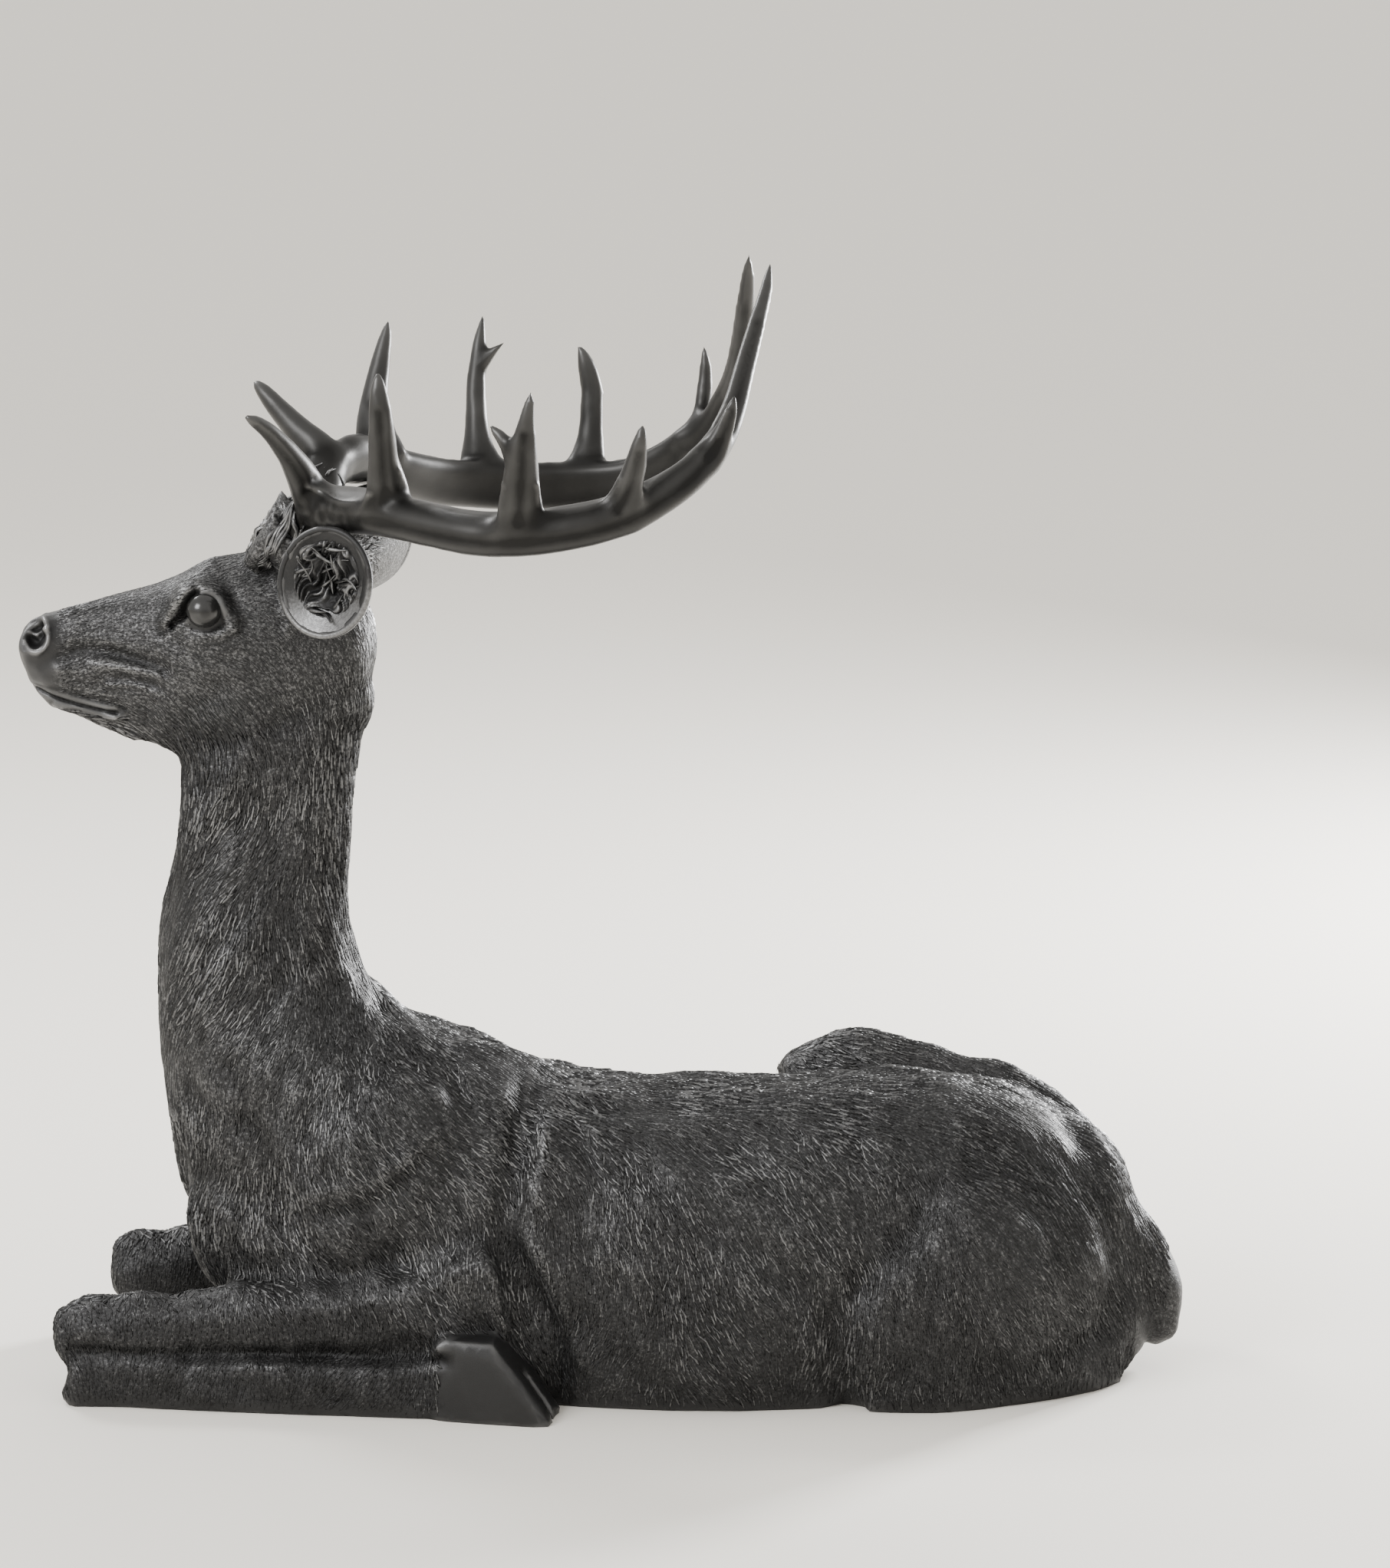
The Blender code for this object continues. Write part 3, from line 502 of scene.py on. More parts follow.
antler = {
    "voxel": 2.4, "triangles": 30000, "softRounds": 20,
    "beamRounds": 180, "beamReach": (24, 42), "tipStart": (1120, 1170),
    "pointLift": 8.5, "pointFrom": (14, 60), "liftAbove": (1090, 1130),
    "browShare": 0.6, "browBefore": (-350, -300),       # the brow points are lifted less
    "lip": {"antler_left": 18, "antler_right": 8}, "lipReach": (14, 36),
    "lipFrom": (-330, -290), "lipTo": (50, 130), "lipRounds": 10,
    "lipFaces": (0.75, 0.65), "lipGrows": (0.4, 0.9),       # each inward and upward
    "burrLumps": 12, "burrHeight": 1.6, "burrBelow": (1062, 1100), "burrBefore": (-310, -270),
    "crestRounds": 22, "crestHeight": 3.4,
}

antlerStrokes = {       # the first of each is the groove along the beam, the others are webs and points
    "antler_left": [
        ([(-318, 1066), (-250, 1071), (-190, 1066), (-135, 1062), (-83, 1064), (-22, 1073), (29, 1086),
          (72, 1106), (111, 1132), (140, 1164), (157, 1200), (169, 1240), (184, 1288)], 8, -2.2),
        ([(-224, 1132), (-213, 1108), (-180, 1095), (-131, 1091), (-112, 1104), (-104, 1132)], 3, 2.6),
        ([(-64, 1132), (-57, 1104), (-23, 1102), (10, 1112), (26, 1138)], 3, 2.6),
        ([(56, 1122), (70, 1132), (110, 1160), (147, 1204)], 3, 2.4),
        ([(-336, 1098), (-304, 1087), (-277, 1090), (-260, 1104)], 4, 3.2),
        ([(-328, 1107), (-304, 1097), (-280, 1100)], 5, -2.4),
        ([(-330, 1078), (-357, 1130), (-392, 1170)], 6, -1.6),
        ([(-240, 1096), (-243, 1135), (-245, 1200)], 7, -1.8),
        ([(-86, 1090), (-82, 1130), (-78, 1190)], 7, -1.8),
        ([(26, 1102), (40, 1130), (50, 1166)], 6, -1.6),
        ([(126, 1152), (142, 1176), (152, 1204)], 5, -1.4)],
    "antler_right": [
        ([(-320, 1084), (-281, 1078), (-252, 1063), (-208, 1046), (-152, 1037), (-86, 1032), (-28, 1034),
          (25, 1042), (62, 1062), (98, 1091), (130, 1126), (149, 1164), (161, 1202), (170, 1270)], 9, -2.4),
        ([(-252, 1114), (-240, 1094), (-216, 1085), (-190, 1084), (-176, 1106)], 3, 2.4),
        ([(-140, 1104), (-120, 1070), (-75, 1063), (-44, 1076), (-30, 1103)], 3, 2.4),
        ([(-10, 1092), (20, 1070), (60, 1086), (92, 1115), (119, 1141)], 3, 2.4),
        ([(-330, 1094), (-368, 1128), (-410, 1172)], 6, -1.6),
        ([(-278, 1100), (-282, 1142), (-272, 1210)], 7, -1.8),
        ([(-158, 1070), (-161, 1112), (-158, 1200)], 7, -1.8),
        ([(-23, 1062), (-18, 1106), (-24, 1176)], 6, -1.6),
        ([(104, 1106), (121, 1145), (125, 1196)], 5, -1.4)],
}


def makeAntler(node, name):
    piece = castCopy(node, name)
    remesh(piece, antler["voxel"])
    places, edges = readMesh(piece.data)
    places = softened(places, edges, antler["softRounds"], 0.5)
    beam = antlerStrokes[node][0][0]
    onBeam = 1 - ramp(sideDistance(places, beam), *antler["beamReach"])
    onBeam *= 1 - ramp(places[:, 2], *antler["tipStart"])
    places = softened(places, edges, antler["beamRounds"], 0.5 * onBeam[:, None])
    away = sideDistance(places, beam)
    share = antler["browShare"] + (1 - antler["browShare"]) * ramp(places[:, 0], *antler["browBefore"])
    lift = antler["pointLift"] * ramp(away, *antler["pointFrom"]) * share
    places[:, 2] += lift * ramp(places[:, 2], *antler["liftAbove"])
    writePlaces(piece.data, places)
    inward = 1 if node == "antler_left" else -1
    sideways, upward = antler["lipFaces"]
    facing = readNormals(piece.data) @ np.array((0, sideways * inward, upward))
    lip = np.clip(facing, 0, 1) ** 2 * (1 - ramp(away, *antler["lipReach"]))
    lip *= ramp(places[:, 0], *antler["lipFrom"])
    lip *= (1 - ramp(places[:, 0], *antler["lipTo"])) * antler["lip"][node]
    sideways, upward = antler["lipGrows"]
    places += lip[:, None] * np.array((0, sideways * inward, upward))
    places = softened(places, edges, antler["lipRounds"], 0.5)
    writePlaces(piece.data, places)
    normals = readNormals(piece.data)
    places = carved(places, normals, antlerStrokes[node])
    burr = (1 - ramp(places[:, 2], *antler["burrBelow"])) * (1 - ramp(places[:, 0], *antler["burrBefore"]))
    places += normals * (burr * noiseAt(places, antler["burrLumps"]) * antler["burrHeight"])[:, None]
    writePlaces(piece.data, places)
    # painted light: lighter on the antler's crests and darker in its grooves
    crest = crestOf(places, edges, readNormals(piece.data), antler["crestRounds"], antler["crestHeight"])
    writeValues(piece.data, "crest", crest)
    thin(piece, antler["triangles"])
    return piece


# Tubes and hairs: one small closed form, bent along many paths

def tubeForm(sides, cuts):      # a closed prism of radius 1 from z 0 to z 1, with rings at the cuts
    bm = bmesh.new()
    bmesh.ops.create_cone(bm, cap_ends=True, segments=sides, radius1=1, radius2=1, depth=1)
    bmesh.ops.translate(bm, vec=(0, 0, 0.5), verts=bm.verts)
    for cut in cuts:
        geometry = bm.verts[:] + bm.edges[:] + bm.faces[:]
        bmesh.ops.bisect_plane(bm, geom=geometry, plane_co=(0, 0, cut), plane_no=(0, 0, 1))
    return bm


def bentTube(path, radii, sides):       # a rope of hair along a path, tapered by its radii
    line = pathCurve(path, 4)
    sizes = np.interp(np.linspace(0, 1, len(line)), np.linspace(0, 1, len(radii)), radii)
    bm = tubeForm(sides, np.linspace(0, 1, len(line))[1:-1])
    ways = np.gradient(line, axis=0)
    for vertex in bm.verts:
        i = round(vertex.co.z * (len(line) - 1))
        way = Vector(ways[i]).normalized()
        out = way.cross(Vector((0.3, 0.2, 1))).normalized()
        place = Vector(line[i]) + (out * vertex.co.x + way.cross(out) * vertex.co.y) * sizes[i]
        vertex.co = place * mm
    bmesh.ops.recalc_face_normals(bm, faces=bm.faces)
    return bm


def addForm(joined, form):
    shell = bpy.data.meshes.new("form")
    form.to_mesh(shell)
    form.free()
    joined.from_mesh(shell)
    bpy.data.meshes.remove(shell)


def gathered(name, forms):
    joined = bmesh.new()
    for form in forms:
        addForm(joined, form)
    return newPiece(name, joined)


def surfaceOf(pieces):      # one search tree over the pieces' meshes
    points, faces = [], []
    for piece in pieces:
        offset = len(points)
        points += [v.co.copy() for v in piece.data.vertices]
        faces += [[offset + i for i in p.vertices] for p in piece.data.polygons]
    return BVHTree.FromPolygons(points, faces)


# The hairs of the coat

hairs = {
    "candidates": 440000, "limit": 52500, "seed": 11, "pieces": 4,
    "neck": (30, 4.4, 2.0, 5.7),         # length, width, height and spacing
    "flank": (23, 4.0, 1.7, 5.25),
    "leg": (16, 3.3, 1.3, 4.8),
    "head": (10, 2.4, 0.9, 3.6),
    "tail": (20, 4.2, 1.6, 5.0),
    "neckAbove": (400, 520), "neckBefore": (-200, -120), "headAbove": (770, 860), "tailFrom": (640, 665),
    "backOfHead": (-350, -280), "backShare": 0.75,      # where the head's hairs turn into longer ones
    "legBelow": (90, 130), "legBefore": (-260, -180),
    "rootShare": 0.34, "tipShare": 0.76, "sunk": 0.55,
    "tailTip": 688, "tailUnder": (645, 78),     # no hairs beyond this, nor beyond and below this
    "lockArea": (-412, 1004, 95),       # none behind, above and inside this, where the locks lie
    "lowest": 8, "undersideBelow": 60, "cutReach": 10, "cell": 4.0,     # cell: of the grid that spaces them
    "lengths": (0.7, 1.25), "widths": (0.8, 1.2), "heights": (0.7, 1.3), "bend": 0.10, "deepestDip": 5,
    "patchSize": 85, "patchLimits": (0.35, 1.5),
    "shades": {"haunch": 0.3, "foreleg": 0.55, "jaw": 0.4},     # painted shade: how much darker the hairs' painted glints are there
    "haunchFrom": (240, 420), "haunchBelow": (300, 380), "forelegBefore": (-240, -190),
    "jaw": (-440, 800), "jawReach": (50, 110),
}


def hairForm():     # a sliver of one unit: three sides, two rings, and a point at each end
    bm = tubeForm(3, (hairs["rootShare"], hairs["tipShare"]))
    widths = (0, 0.42, 0.5, 0)
    heights = (-0.2, 0.75, 1.0, 0.1)
    rings = (0, hairs["rootShare"], hairs["tipShare"], 1)
    for vertex in bm.verts:
        ring = min(range(4), key=lambda i: abs(rings[i] - vertex.co.z))
        side = 0 if abs(vertex.co.x) < 0.01 else math.copysign(1, vertex.co.x)
        high = heights[ring] if side == 0 or widths[ring] == 0 else -hairs["sunk"]
        vertex.co = (rings[ring] - 0.5, side * widths[ring], high)
    bmesh.ops.remove_doubles(bm, verts=bm.verts, dist=0.001)
    bmesh.ops.recalc_face_normals(bm, faces=bm.faces)
    bmesh.ops.triangulate(bm, faces=bm.faces)
    return bm


def hairSizes(places):      # the length, width, height and spacing at each place
    x, _, z = places.T
    sizes = np.tile(np.array(hairs["flank"], float), (len(places), 1))
    regions = (
        ("neck", ramp(z, *hairs["neckAbove"]) * (1 - ramp(x, *hairs["neckBefore"]))),
        ("leg", (1 - ramp(z, *hairs["legBelow"])) * (1 - ramp(x, *hairs["legBefore"]))),
        ("head", ramp(z, *hairs["headAbove"]) * (1 - hairs["backShare"] * ramp(x, *hairs["backOfHead"]))),
        ("tail", ramp(x, *hairs["tailFrom"])),
    )
    for region, share in regions:
        sizes = sizes * (1 - share[:, None]) + np.array(hairs[region]) * share[:, None]
    return sizes


def spaced(places, gaps):       # numbers of the places that keep their gap from those kept before
    grid = {}
    kept = []
    keys = np.floor(places / hairs["cell"]).astype(int)
    near = list(itertools.product(range(-2, 3), repeat=3))
    rows = places.tolist()
    for i, (key, gap) in enumerate(zip(keys.tolist(), gaps.tolist())):
        px, py, pz = rows[i]
        free = True
        for a, b, c in near:
            other = grid.get((key[0] + a, key[1] + b, key[2] + c))
            if other is not None:
                qx, qy, qz = rows[other]
                if (px - qx) ** 2 + (py - qy) ** 2 + (pz - qz) ** 2 < gap * gap:
                    free = False
                    break
        if free:
            grid[tuple(key)] = i
            kept.append(i)
            if len(kept) == hairs["limit"]:
                break
    return kept


def scatterPoints(skins):       # places over the skins, with the spacing that each asks for
    pick = np.random.default_rng(hairs["seed"])
    corners = []
    for skin in skins:
        skin.data.calc_loop_triangles()
        places, _ = readMesh(skin.data)
        faces = np.empty(len(skin.data.loop_triangles) * 3, np.int32)
        skin.data.loop_triangles.foreach_get("vertices", faces)
        corners.append(places[faces.reshape(-1, 3)])
    corners = np.concatenate(corners)
    cross = np.cross(corners[:, 1] - corners[:, 0], corners[:, 2] - corners[:, 0])
    areas = np.linalg.norm(cross, axis=1)
    normals = cross / np.maximum(areas, 1e-9)[:, None]
    middle = corners.mean(1)
    wanted = np.where((normals[:, 2] < -0.8) & (middle[:, 2] < hairs["undersideBelow"]), 0, areas)
    chosen = pick.choice(len(areas), hairs["candidates"], p=wanted / wanted.sum())
    u, v = pick.random((2, hairs["candidates"]))
    flip = u + v > 1
    u[flip], v[flip] = 1 - u[flip], 1 - v[flip]
    tri = corners[chosen]
    places = tri[:, 0] + u[:, None] * (tri[:, 1] - tri[:, 0]) + v[:, None] * (tri[:, 2] - tri[:, 0])
    normals = normals[chosen]
    x, y, z = places.T
    bald = (z < hairs["lowest"]) | (x > hairs["tailTip"]) | onCut(places, normals)
    bald |= (x > hairs["tailUnder"][0]) & (z < hairs["tailUnder"][1])
    behind, above, inside = hairs["lockArea"]
    bald |= (x > behind) & (z > above) & (np.abs(y) < inside)
    bald |= (bareSkin(places, normals) > 0.5) | (onEar(places) > 0)
    places, normals = places[~bald], normals[~bald]
    kept = spaced(places, hairSizes(places)[:, 3])
    return places[kept], normals[kept]


def onCut(places, normals):     # the flat faces where the head's and the body's skins are cut
    fromUpper, fromLower = [np.abs(places[:, 2] - skin["cutHeight"]) for skin in (body, head)]
    upper = (fromUpper < hairs["cutReach"]) & (normals[:, 2] > 0.3) & (places[:, 0] < -250)
    lower = (fromLower < hairs["cutReach"]) & (normals[:, 2] < -0.3)
    return upper | lower


def hairGlints(places, patches, pick):      # how bright each hair's painted glint is, with painted shade towards the ground and in some places
    x, _, z = places.T
    dark = hairs["shades"]
    jawX, jawZ = hairs["jaw"]
    haunch = ramp(x, *hairs["haunchFrom"]) * (1 - ramp(z, *hairs["haunchBelow"]))
    foreleg = (1 - ramp(x, *hairs["forelegBefore"])) * (1 - ramp(z, *hairs["legBelow"]))
    jaw = 1 - ramp(np.hypot(x - jawX, z - jawZ), *hairs["jawReach"])
    shade = 1 - dark["haunch"] * haunch - dark["foreleg"] * foreleg - dark["jaw"] * jaw
    glint = (0.2 + 0.8 * pick.random(len(places)) ** 1.5) * (0.4 + 0.6 * patches)
    return np.minimum(glint, 1) * groundShade(z) * shade


def hairPiece(name, points, faces, shine):      # points and shine have a row for each hair
    count = points.shape[1]
    allFaces = (faces[None] + (np.arange(len(points)) * count)[:, None, None]).reshape(-1, 3)
    mesh = bpy.data.meshes.new(name)
    mesh.vertices.add(len(points) * count)
    mesh.loops.add(allFaces.size)
    mesh.polygons.add(len(allFaces))
    mesh.loops.foreach_set("vertex_index", allFaces.ravel().astype(np.int32))
    mesh.polygons.foreach_set("loop_start", np.arange(0, allFaces.size, 3, dtype=np.int32))
    places = points.reshape(-1, 3)
    places[:, 2] = np.maximum(places[:, 2], 0.3)
    writePlaces(mesh, places)
    mesh.update(calc_edges=True)
    writeValues(mesh, "crest", 0.30 + 0.7 * shine.ravel())
    writeValues(mesh, "furred", np.full(len(places), 0.7))
    return placed(name, mesh)


def makeHairs(skins, surface):
    places, normals = scatterPoints(skins)
    print("hairs:", len(places))
    pick = np.random.default_rng(hairs["seed"] + 1)
    swirl = noiseAt(places, coat["swirlSize"]) * 2 * coat["swirl"]
    angle = np.radians(lieAngle(places) + swirl + pick.normal(0, coat["scatter"], len(places)))
    way = np.stack([np.cos(angle), np.zeros(len(places)), np.sin(angle)], 1)
    way -= normals * (way * normals).sum(1)[:, None]
    way /= np.maximum(np.linalg.norm(way, axis=1), 1e-6)[:, None]
    across = np.cross(normals, way)
    length, width, height, _ = hairSizes(places).T
    length = length * pick.uniform(*hairs["lengths"], len(places))
    width = width * pick.uniform(*hairs["widths"], len(places))
    patches = np.clip(0.85 + 1.3 * noiseAt(places, hairs["patchSize"], 5), *hairs["patchLimits"])
    height = height * pick.uniform(*hairs["heights"], len(places)) * patches
    bend = pick.normal(0, hairs["bend"], len(places))
    template = hairForm()
    form = np.array([v.co for v in template.verts])
    faces = np.array([[v.index for v in face.verts] for face in template.faces])
    template.free()
    dips = np.zeros((2, len(places)))       # how far the skin falls away under each end
    for end, share in enumerate((-0.5, 0.5)):
        tips = (places + way * (length * share)[:, None]) * mm
        for i, tip in enumerate(tips):
            spot = surface.find_nearest(Vector(tip), 0.012)[0]
            if spot is not None:
                dips[end, i] = (Vector(spot) - Vector(tip)).dot(Vector(normals[i])) / mm
    dips = np.clip(dips, -hairs["deepestDip"], hairs["deepestDip"])
    u = form[:, 0]
    drop = np.where(u < 0, 0, 1)
    points = (places[:, None, :]
              + way[:, None, :] * (u * length[:, None])[..., None]
              + across[:, None, :] * (form[:, 1] * width[:, None]
                                      + (u * u * 4 - 0.3) * (bend * length)[:, None] * 0.25)[..., None]
              + normals[:, None, :] * (form[:, 2] * height[:, None]
                                       + dips.T[:, drop] * (u * 2) ** 2)[..., None])
    glint = hairGlints(places, patches, pick)
    # painted highlight: each hair is lighter towards its ridge, by its glint
    shine = np.clip(form[:, 2], 0, 1)[None, :] * glint[:, None]
    order = np.argsort(places[:, 0], kind="stable")
    return [hairPiece(f"coat_hairs_{part + 1}", points[rows], faces, shine[rows])
            for part, rows in enumerate(np.array_split(order, hairs["pieces"]))]


# Locks over the forehead and in the ears

tufts = {
    "seed": 4,
    "strands": 56, "sideStrands": 11, "strandRadius": 2.1, "spread": 85, "wave": 2.0, "shortInside": (44, 60),
    "stemFront": -412, "stemFoot": 1000, "stemSide": 88, "hugReach": 28,
    "earTuft": 0.68, "earTuftPlace": (-0.03, 0.05),     # shares of the ear's size
    "earTuftTall": 15,
    "earLocks": 22, "earLockRadius": 2.4, "earLockStart": 0.62, "earLockLimit": 0.70,
    "earLockLifts": (6, 10, 12, 13, 12),
    "bowl": 32, "lining": 3, "liningReach": 0.95, "liningLight": (1040, 1085),
    "rimReach": 0.93, "rimRadii": (3.0, 3.2, 3.6, 4.0, 3.6, 3.2, 3.0),
}


def bowlDepth(reach):       # how far in the ear's lining lies, from its middle at 0 to its rim at 1
    return tufts["bowl"] * (reach ** 1.15 - 1) + 1.5


def withPaintedLight(piece, pick, low, high):     # painted light: each strand lighter on the side that faces up, forward and outward
    places, edges = readMesh(piece.data)
    normals = readNormals(piece.data)
    litSide = normals @ np.array((-0.45, 0, 0.6)) + np.abs(normals[:, 1]) * 0.5
    tone = low + (high - low) * np.clip(0.5 + 0.5 * litSide + 0.25 * noiseAt(places, 7), 0, 1)
    writeValues(piece.data, "crest", tone + pick.normal(0, 0.03, len(places)))
    writeValues(piece.data, "furred", np.full(len(places), 0.15))
    return piece


def strandOn(surface, start, run, wave, lifts):     # a wavy strand along run that hugs the surface
    path = []
    for share, swing, lift in zip(np.linspace(0, 1, len(lifts)), wave, lifts):
        point = start + run * float(share) + Vector((0.5, 1, 0)) * swing
        spot, normal, _, _ = surface.find_nearest(point * mm)
        if (spot - point * mm).length < tufts["hugReach"] * mm:
            point = spot / mm + normal * lift
        path.append(point)
    return path


def makeForeheadLocks(surface):
    pick = np.random.default_rng(tufts["seed"])
    starts = []
    for i in range(tufts["strands"]):       # up the front of the stems
        y = tufts["spread"] * (2 * (i + 0.5) / tufts["strands"] - 1)
        tall = 0.28 + 0.66 * float(ramp(abs(y), *tufts["shortInside"])) + pick.normal(0, 0.05)
        front = tufts["stemFront"] + 5 * (i % 2) + 0.0019 * y * y
        starts.append((Vector((front, 0.86 * y, tufts["stemFoot"])), Vector((42, 0.14 * y, 84 * tall))))
    for side in bothSides:      # and up the outer side of each stem
        for x in np.linspace(-404, -362, tufts["sideStrands"]):
            run = Vector((44, -4 * side, 80 + pick.normal(0, 6)))
            foot = (x + pick.normal(0, 2), side * tufts["stemSide"], tufts["stemFoot"] + pick.normal(0, 4))
            starts.append((Vector(foot), run))
    forms = []
    for i, (start, run) in enumerate(starts):
        turn = pick.uniform(0, 6)
        turns = [turn + 2.1 * j for j in range(8)]
        wave = [math.sin(angle) * tufts["wave"] for angle in turns]
        lifts = [0.4 + 1.4 * math.sin(math.pi * j / 7) + 0.9 * (i % 2) + 0.5 * math.cos(angle)
                 for j, angle in enumerate(turns)]
        radius = tufts["strandRadius"] * pick.uniform(0.75, 1.3)
        path = strandOn(surface, start, run, wave, lifts)
        forms.append(bentTube(path, (0.7, radius, radius * 1.1, radius, radius * 0.8, 0.4), 6))
    return withPaintedLight(gathered("forehead_locks", forms), pick, 0.2, 1.0)


def makeEarLinings():       # a shallow bowl of skin inside each ear
    joined = bmesh.new()
    for side in bothSides:
        centre, across, up, opens = earFrame(side)
        made = bmesh.ops.create_uvsphere(joined, u_segments=48, v_segments=24, radius=1)
        for vertex in made["verts"]:
            a, b, c = vertex.co
            reach = math.hypot(a, b)
            depth = bowlDepth(reach) + tufts["lining"] * c
            vertex.co = (centre + (across * a + up * b) * tufts["liningReach"] + opens * depth) * mm
        rim = [centre + (across * math.cos(turn) + up * math.sin(turn)) * tufts["rimReach"] - opens * 0.5
               for turn in np.linspace(math.radians(150), math.radians(-210), 25)]
        addForm(joined, bentTube(rim, tufts["rimRadii"], 10))
    bmesh.ops.recalc_face_normals(joined, faces=joined.faces)
    piece = newPiece("ear_linings", joined)
    places, _ = readMesh(piece.data)
    # painted light: the lower, rearward part of each lining is lighter and carries more speckle glints
    low = 1 - ramp(places[:, 2] - 0.25 * places[:, 0], *tufts["liningLight"])
    writeValues(piece.data, "crest", 0.42 + 0.36 * low)
    writeValues(piece.data, "furred", 0.15 + 0.35 * low)
    return piece


def tuftRelief(a, b, side):     # carved tufts, 0 in the deep gaps and 1 on the ridges
    turn = math.radians(60 + 75 * noise.noise(Vector((a * 1.8, b * 1.8, side))))
    along = a * math.cos(turn) + b * math.sin(turn)
    over = b * math.cos(turn) - a * math.sin(turn)
    broad = 1 - 2.6 * abs(noise.noise(Vector((along * 2.4, over * 7, 3 + side))))
    narrow = 1 - 2.6 * abs(noise.noise(Vector((along * 4, over * 17, 9 + side))))
    gap = noise.noise(Vector((a * 3.6, b * 3.6, 5 + side)))
    return 1 / (1 + math.exp(2.2 - 3.0 * broad - 1.4 * narrow - 3.0 * gap))


def makeEarTufts():
    bm = bmesh.new()
    ridges = []
    for side in bothSides:
        centre, across, up, opens = earFrame(side)
        made = bmesh.ops.create_icosphere(bm, subdivisions=6, radius=1)
        for vertex in made["verts"]:
            a, b = [tufts["earTuft"] * part + shift for part, shift in zip(vertex.co, tufts["earTuftPlace"])]
            ridge = tuftRelief(a, b, side)
            ridges.append(ridge)
            front = max(0, vertex.co.z)
            high = (0.25 + 0.75 * ridge) * tufts["earTuftTall"] * front ** 0.6 + min(0, vertex.co.z) * 3
            vertex.co = (centre + across * a + up * b + opens * (bowlDepth(math.hypot(a, b)) + high)) * mm
    bmesh.ops.recalc_face_normals(bm, faces=bm.faces)
    piece = newPiece("ear_tufts", bm)
    # painted light: the tufts' ridges are lighter and the gaps between them darker
    writeValues(piece.data, "crest", 0.02 + 0.85 * np.array(ridges) ** 1.5)
    writeValues(piece.data, "furred", np.full(len(ridges), 0.25))
    return piece


def makeEarLocks():
    pick = np.random.default_rng(tufts["seed"] + 1)
    forms = []
    for side in bothSides:
        centre, across, up, opens = earFrame(side)
        for i in range(tufts["earLocks"]):
            turn = pick.uniform(0, 2 * math.pi)
            reach = tufts["earLockStart"] * math.sqrt(pick.random())
            a = math.cos(turn) * reach - 0.10
            b = math.sin(turn) * reach + 0.03
            heading = math.radians(pick.normal(40, 30) + 70 * noise.noise(Vector((a * 2.2, b * 2.2, side))))
            curl = pick.normal(0, 0.28)
            step = pick.uniform(0.09, 0.15)
            high = pick.uniform(0.3, 1.7)
            path = []
            for lift in tufts["earLockLifts"]:
                reach = math.hypot(a, b)
                pull = min(1, tufts["earLockLimit"] / max(reach, 0.01))
                depth = bowlDepth(reach * pull) + lift * high
                path.append(centre + across * a * pull + up * b * pull + opens * depth)
                a += math.cos(heading) * step
                b += math.sin(heading) * step
                heading += curl
            radius = tufts["earLockRadius"] * pick.uniform(0.7, 1.2)
            forms.append(bentTube(path, (0.6, radius, radius * 0.9, radius * 0.5, 0.3), 6))
    return withPaintedLight(gathered("ear_locks", forms), pick, 0.1, 0.9)


# The eyeballs

def makeEyes(headSurface):
    bm = bmesh.new()
    radius = figure["eyeRadius"]
    for side in bothSides:
        start = Vector((figure["eye"][0], side * 200, figure["eye"][1])) * mm
        spot = headSurface.ray_cast(start, Vector((0, -side, 0)))[0]
        centre = Vector((start.x, spot.y - side * (radius - figure["eyeStands"]) * mm, start.z))
        turned = Matrix.Translation(centre) @ Matrix.Rotation(math.radians(90), 4, "X")
        bmesh.ops.create_uvsphere(bm, u_segments=40, v_segments=28, radius=radius * mm, matrix=turned)
    piece = newPiece("eyeballs", bm)
    places, _ = readMesh(piece.data)
    # painted shade: the middle of each eyeball is darker, for the shade of a drilled pupil
    fromPupil = np.hypot(places[:, 0] - figure["eye"][0] - 3, places[:, 2] - figure["eye"][1] + 1)
    writeValues(piece.data, "crest", 0.28 + 0.22 * ramp(fromPupil, 3, 8))
    return piece


# Materials: nodes

def addNode(tree, kind, **values):
    node = tree.nodes.new(kind)
    for name, value in values.items():
        if name in node.inputs:
            node.inputs[name].default_value = value
        else:
            setattr(node, name, value)
    return node


def plug(tree, fromSocket, toSocket):
    tree.links.new(fromSocket, toSocket)


def colourSteps(tree, factor, steps):
    node = addNode(tree, "ShaderNodeValToRGB")
    ramps = node.color_ramp.elements
    while len(ramps) < len(steps):
        ramps.new(0.5)
    for element, (place, colour) in zip(ramps, steps):
        element.position = place
        element.color = (*colour, 1)
    plug(tree, factor, node.inputs["Fac"])
    return node.outputs["Color"]


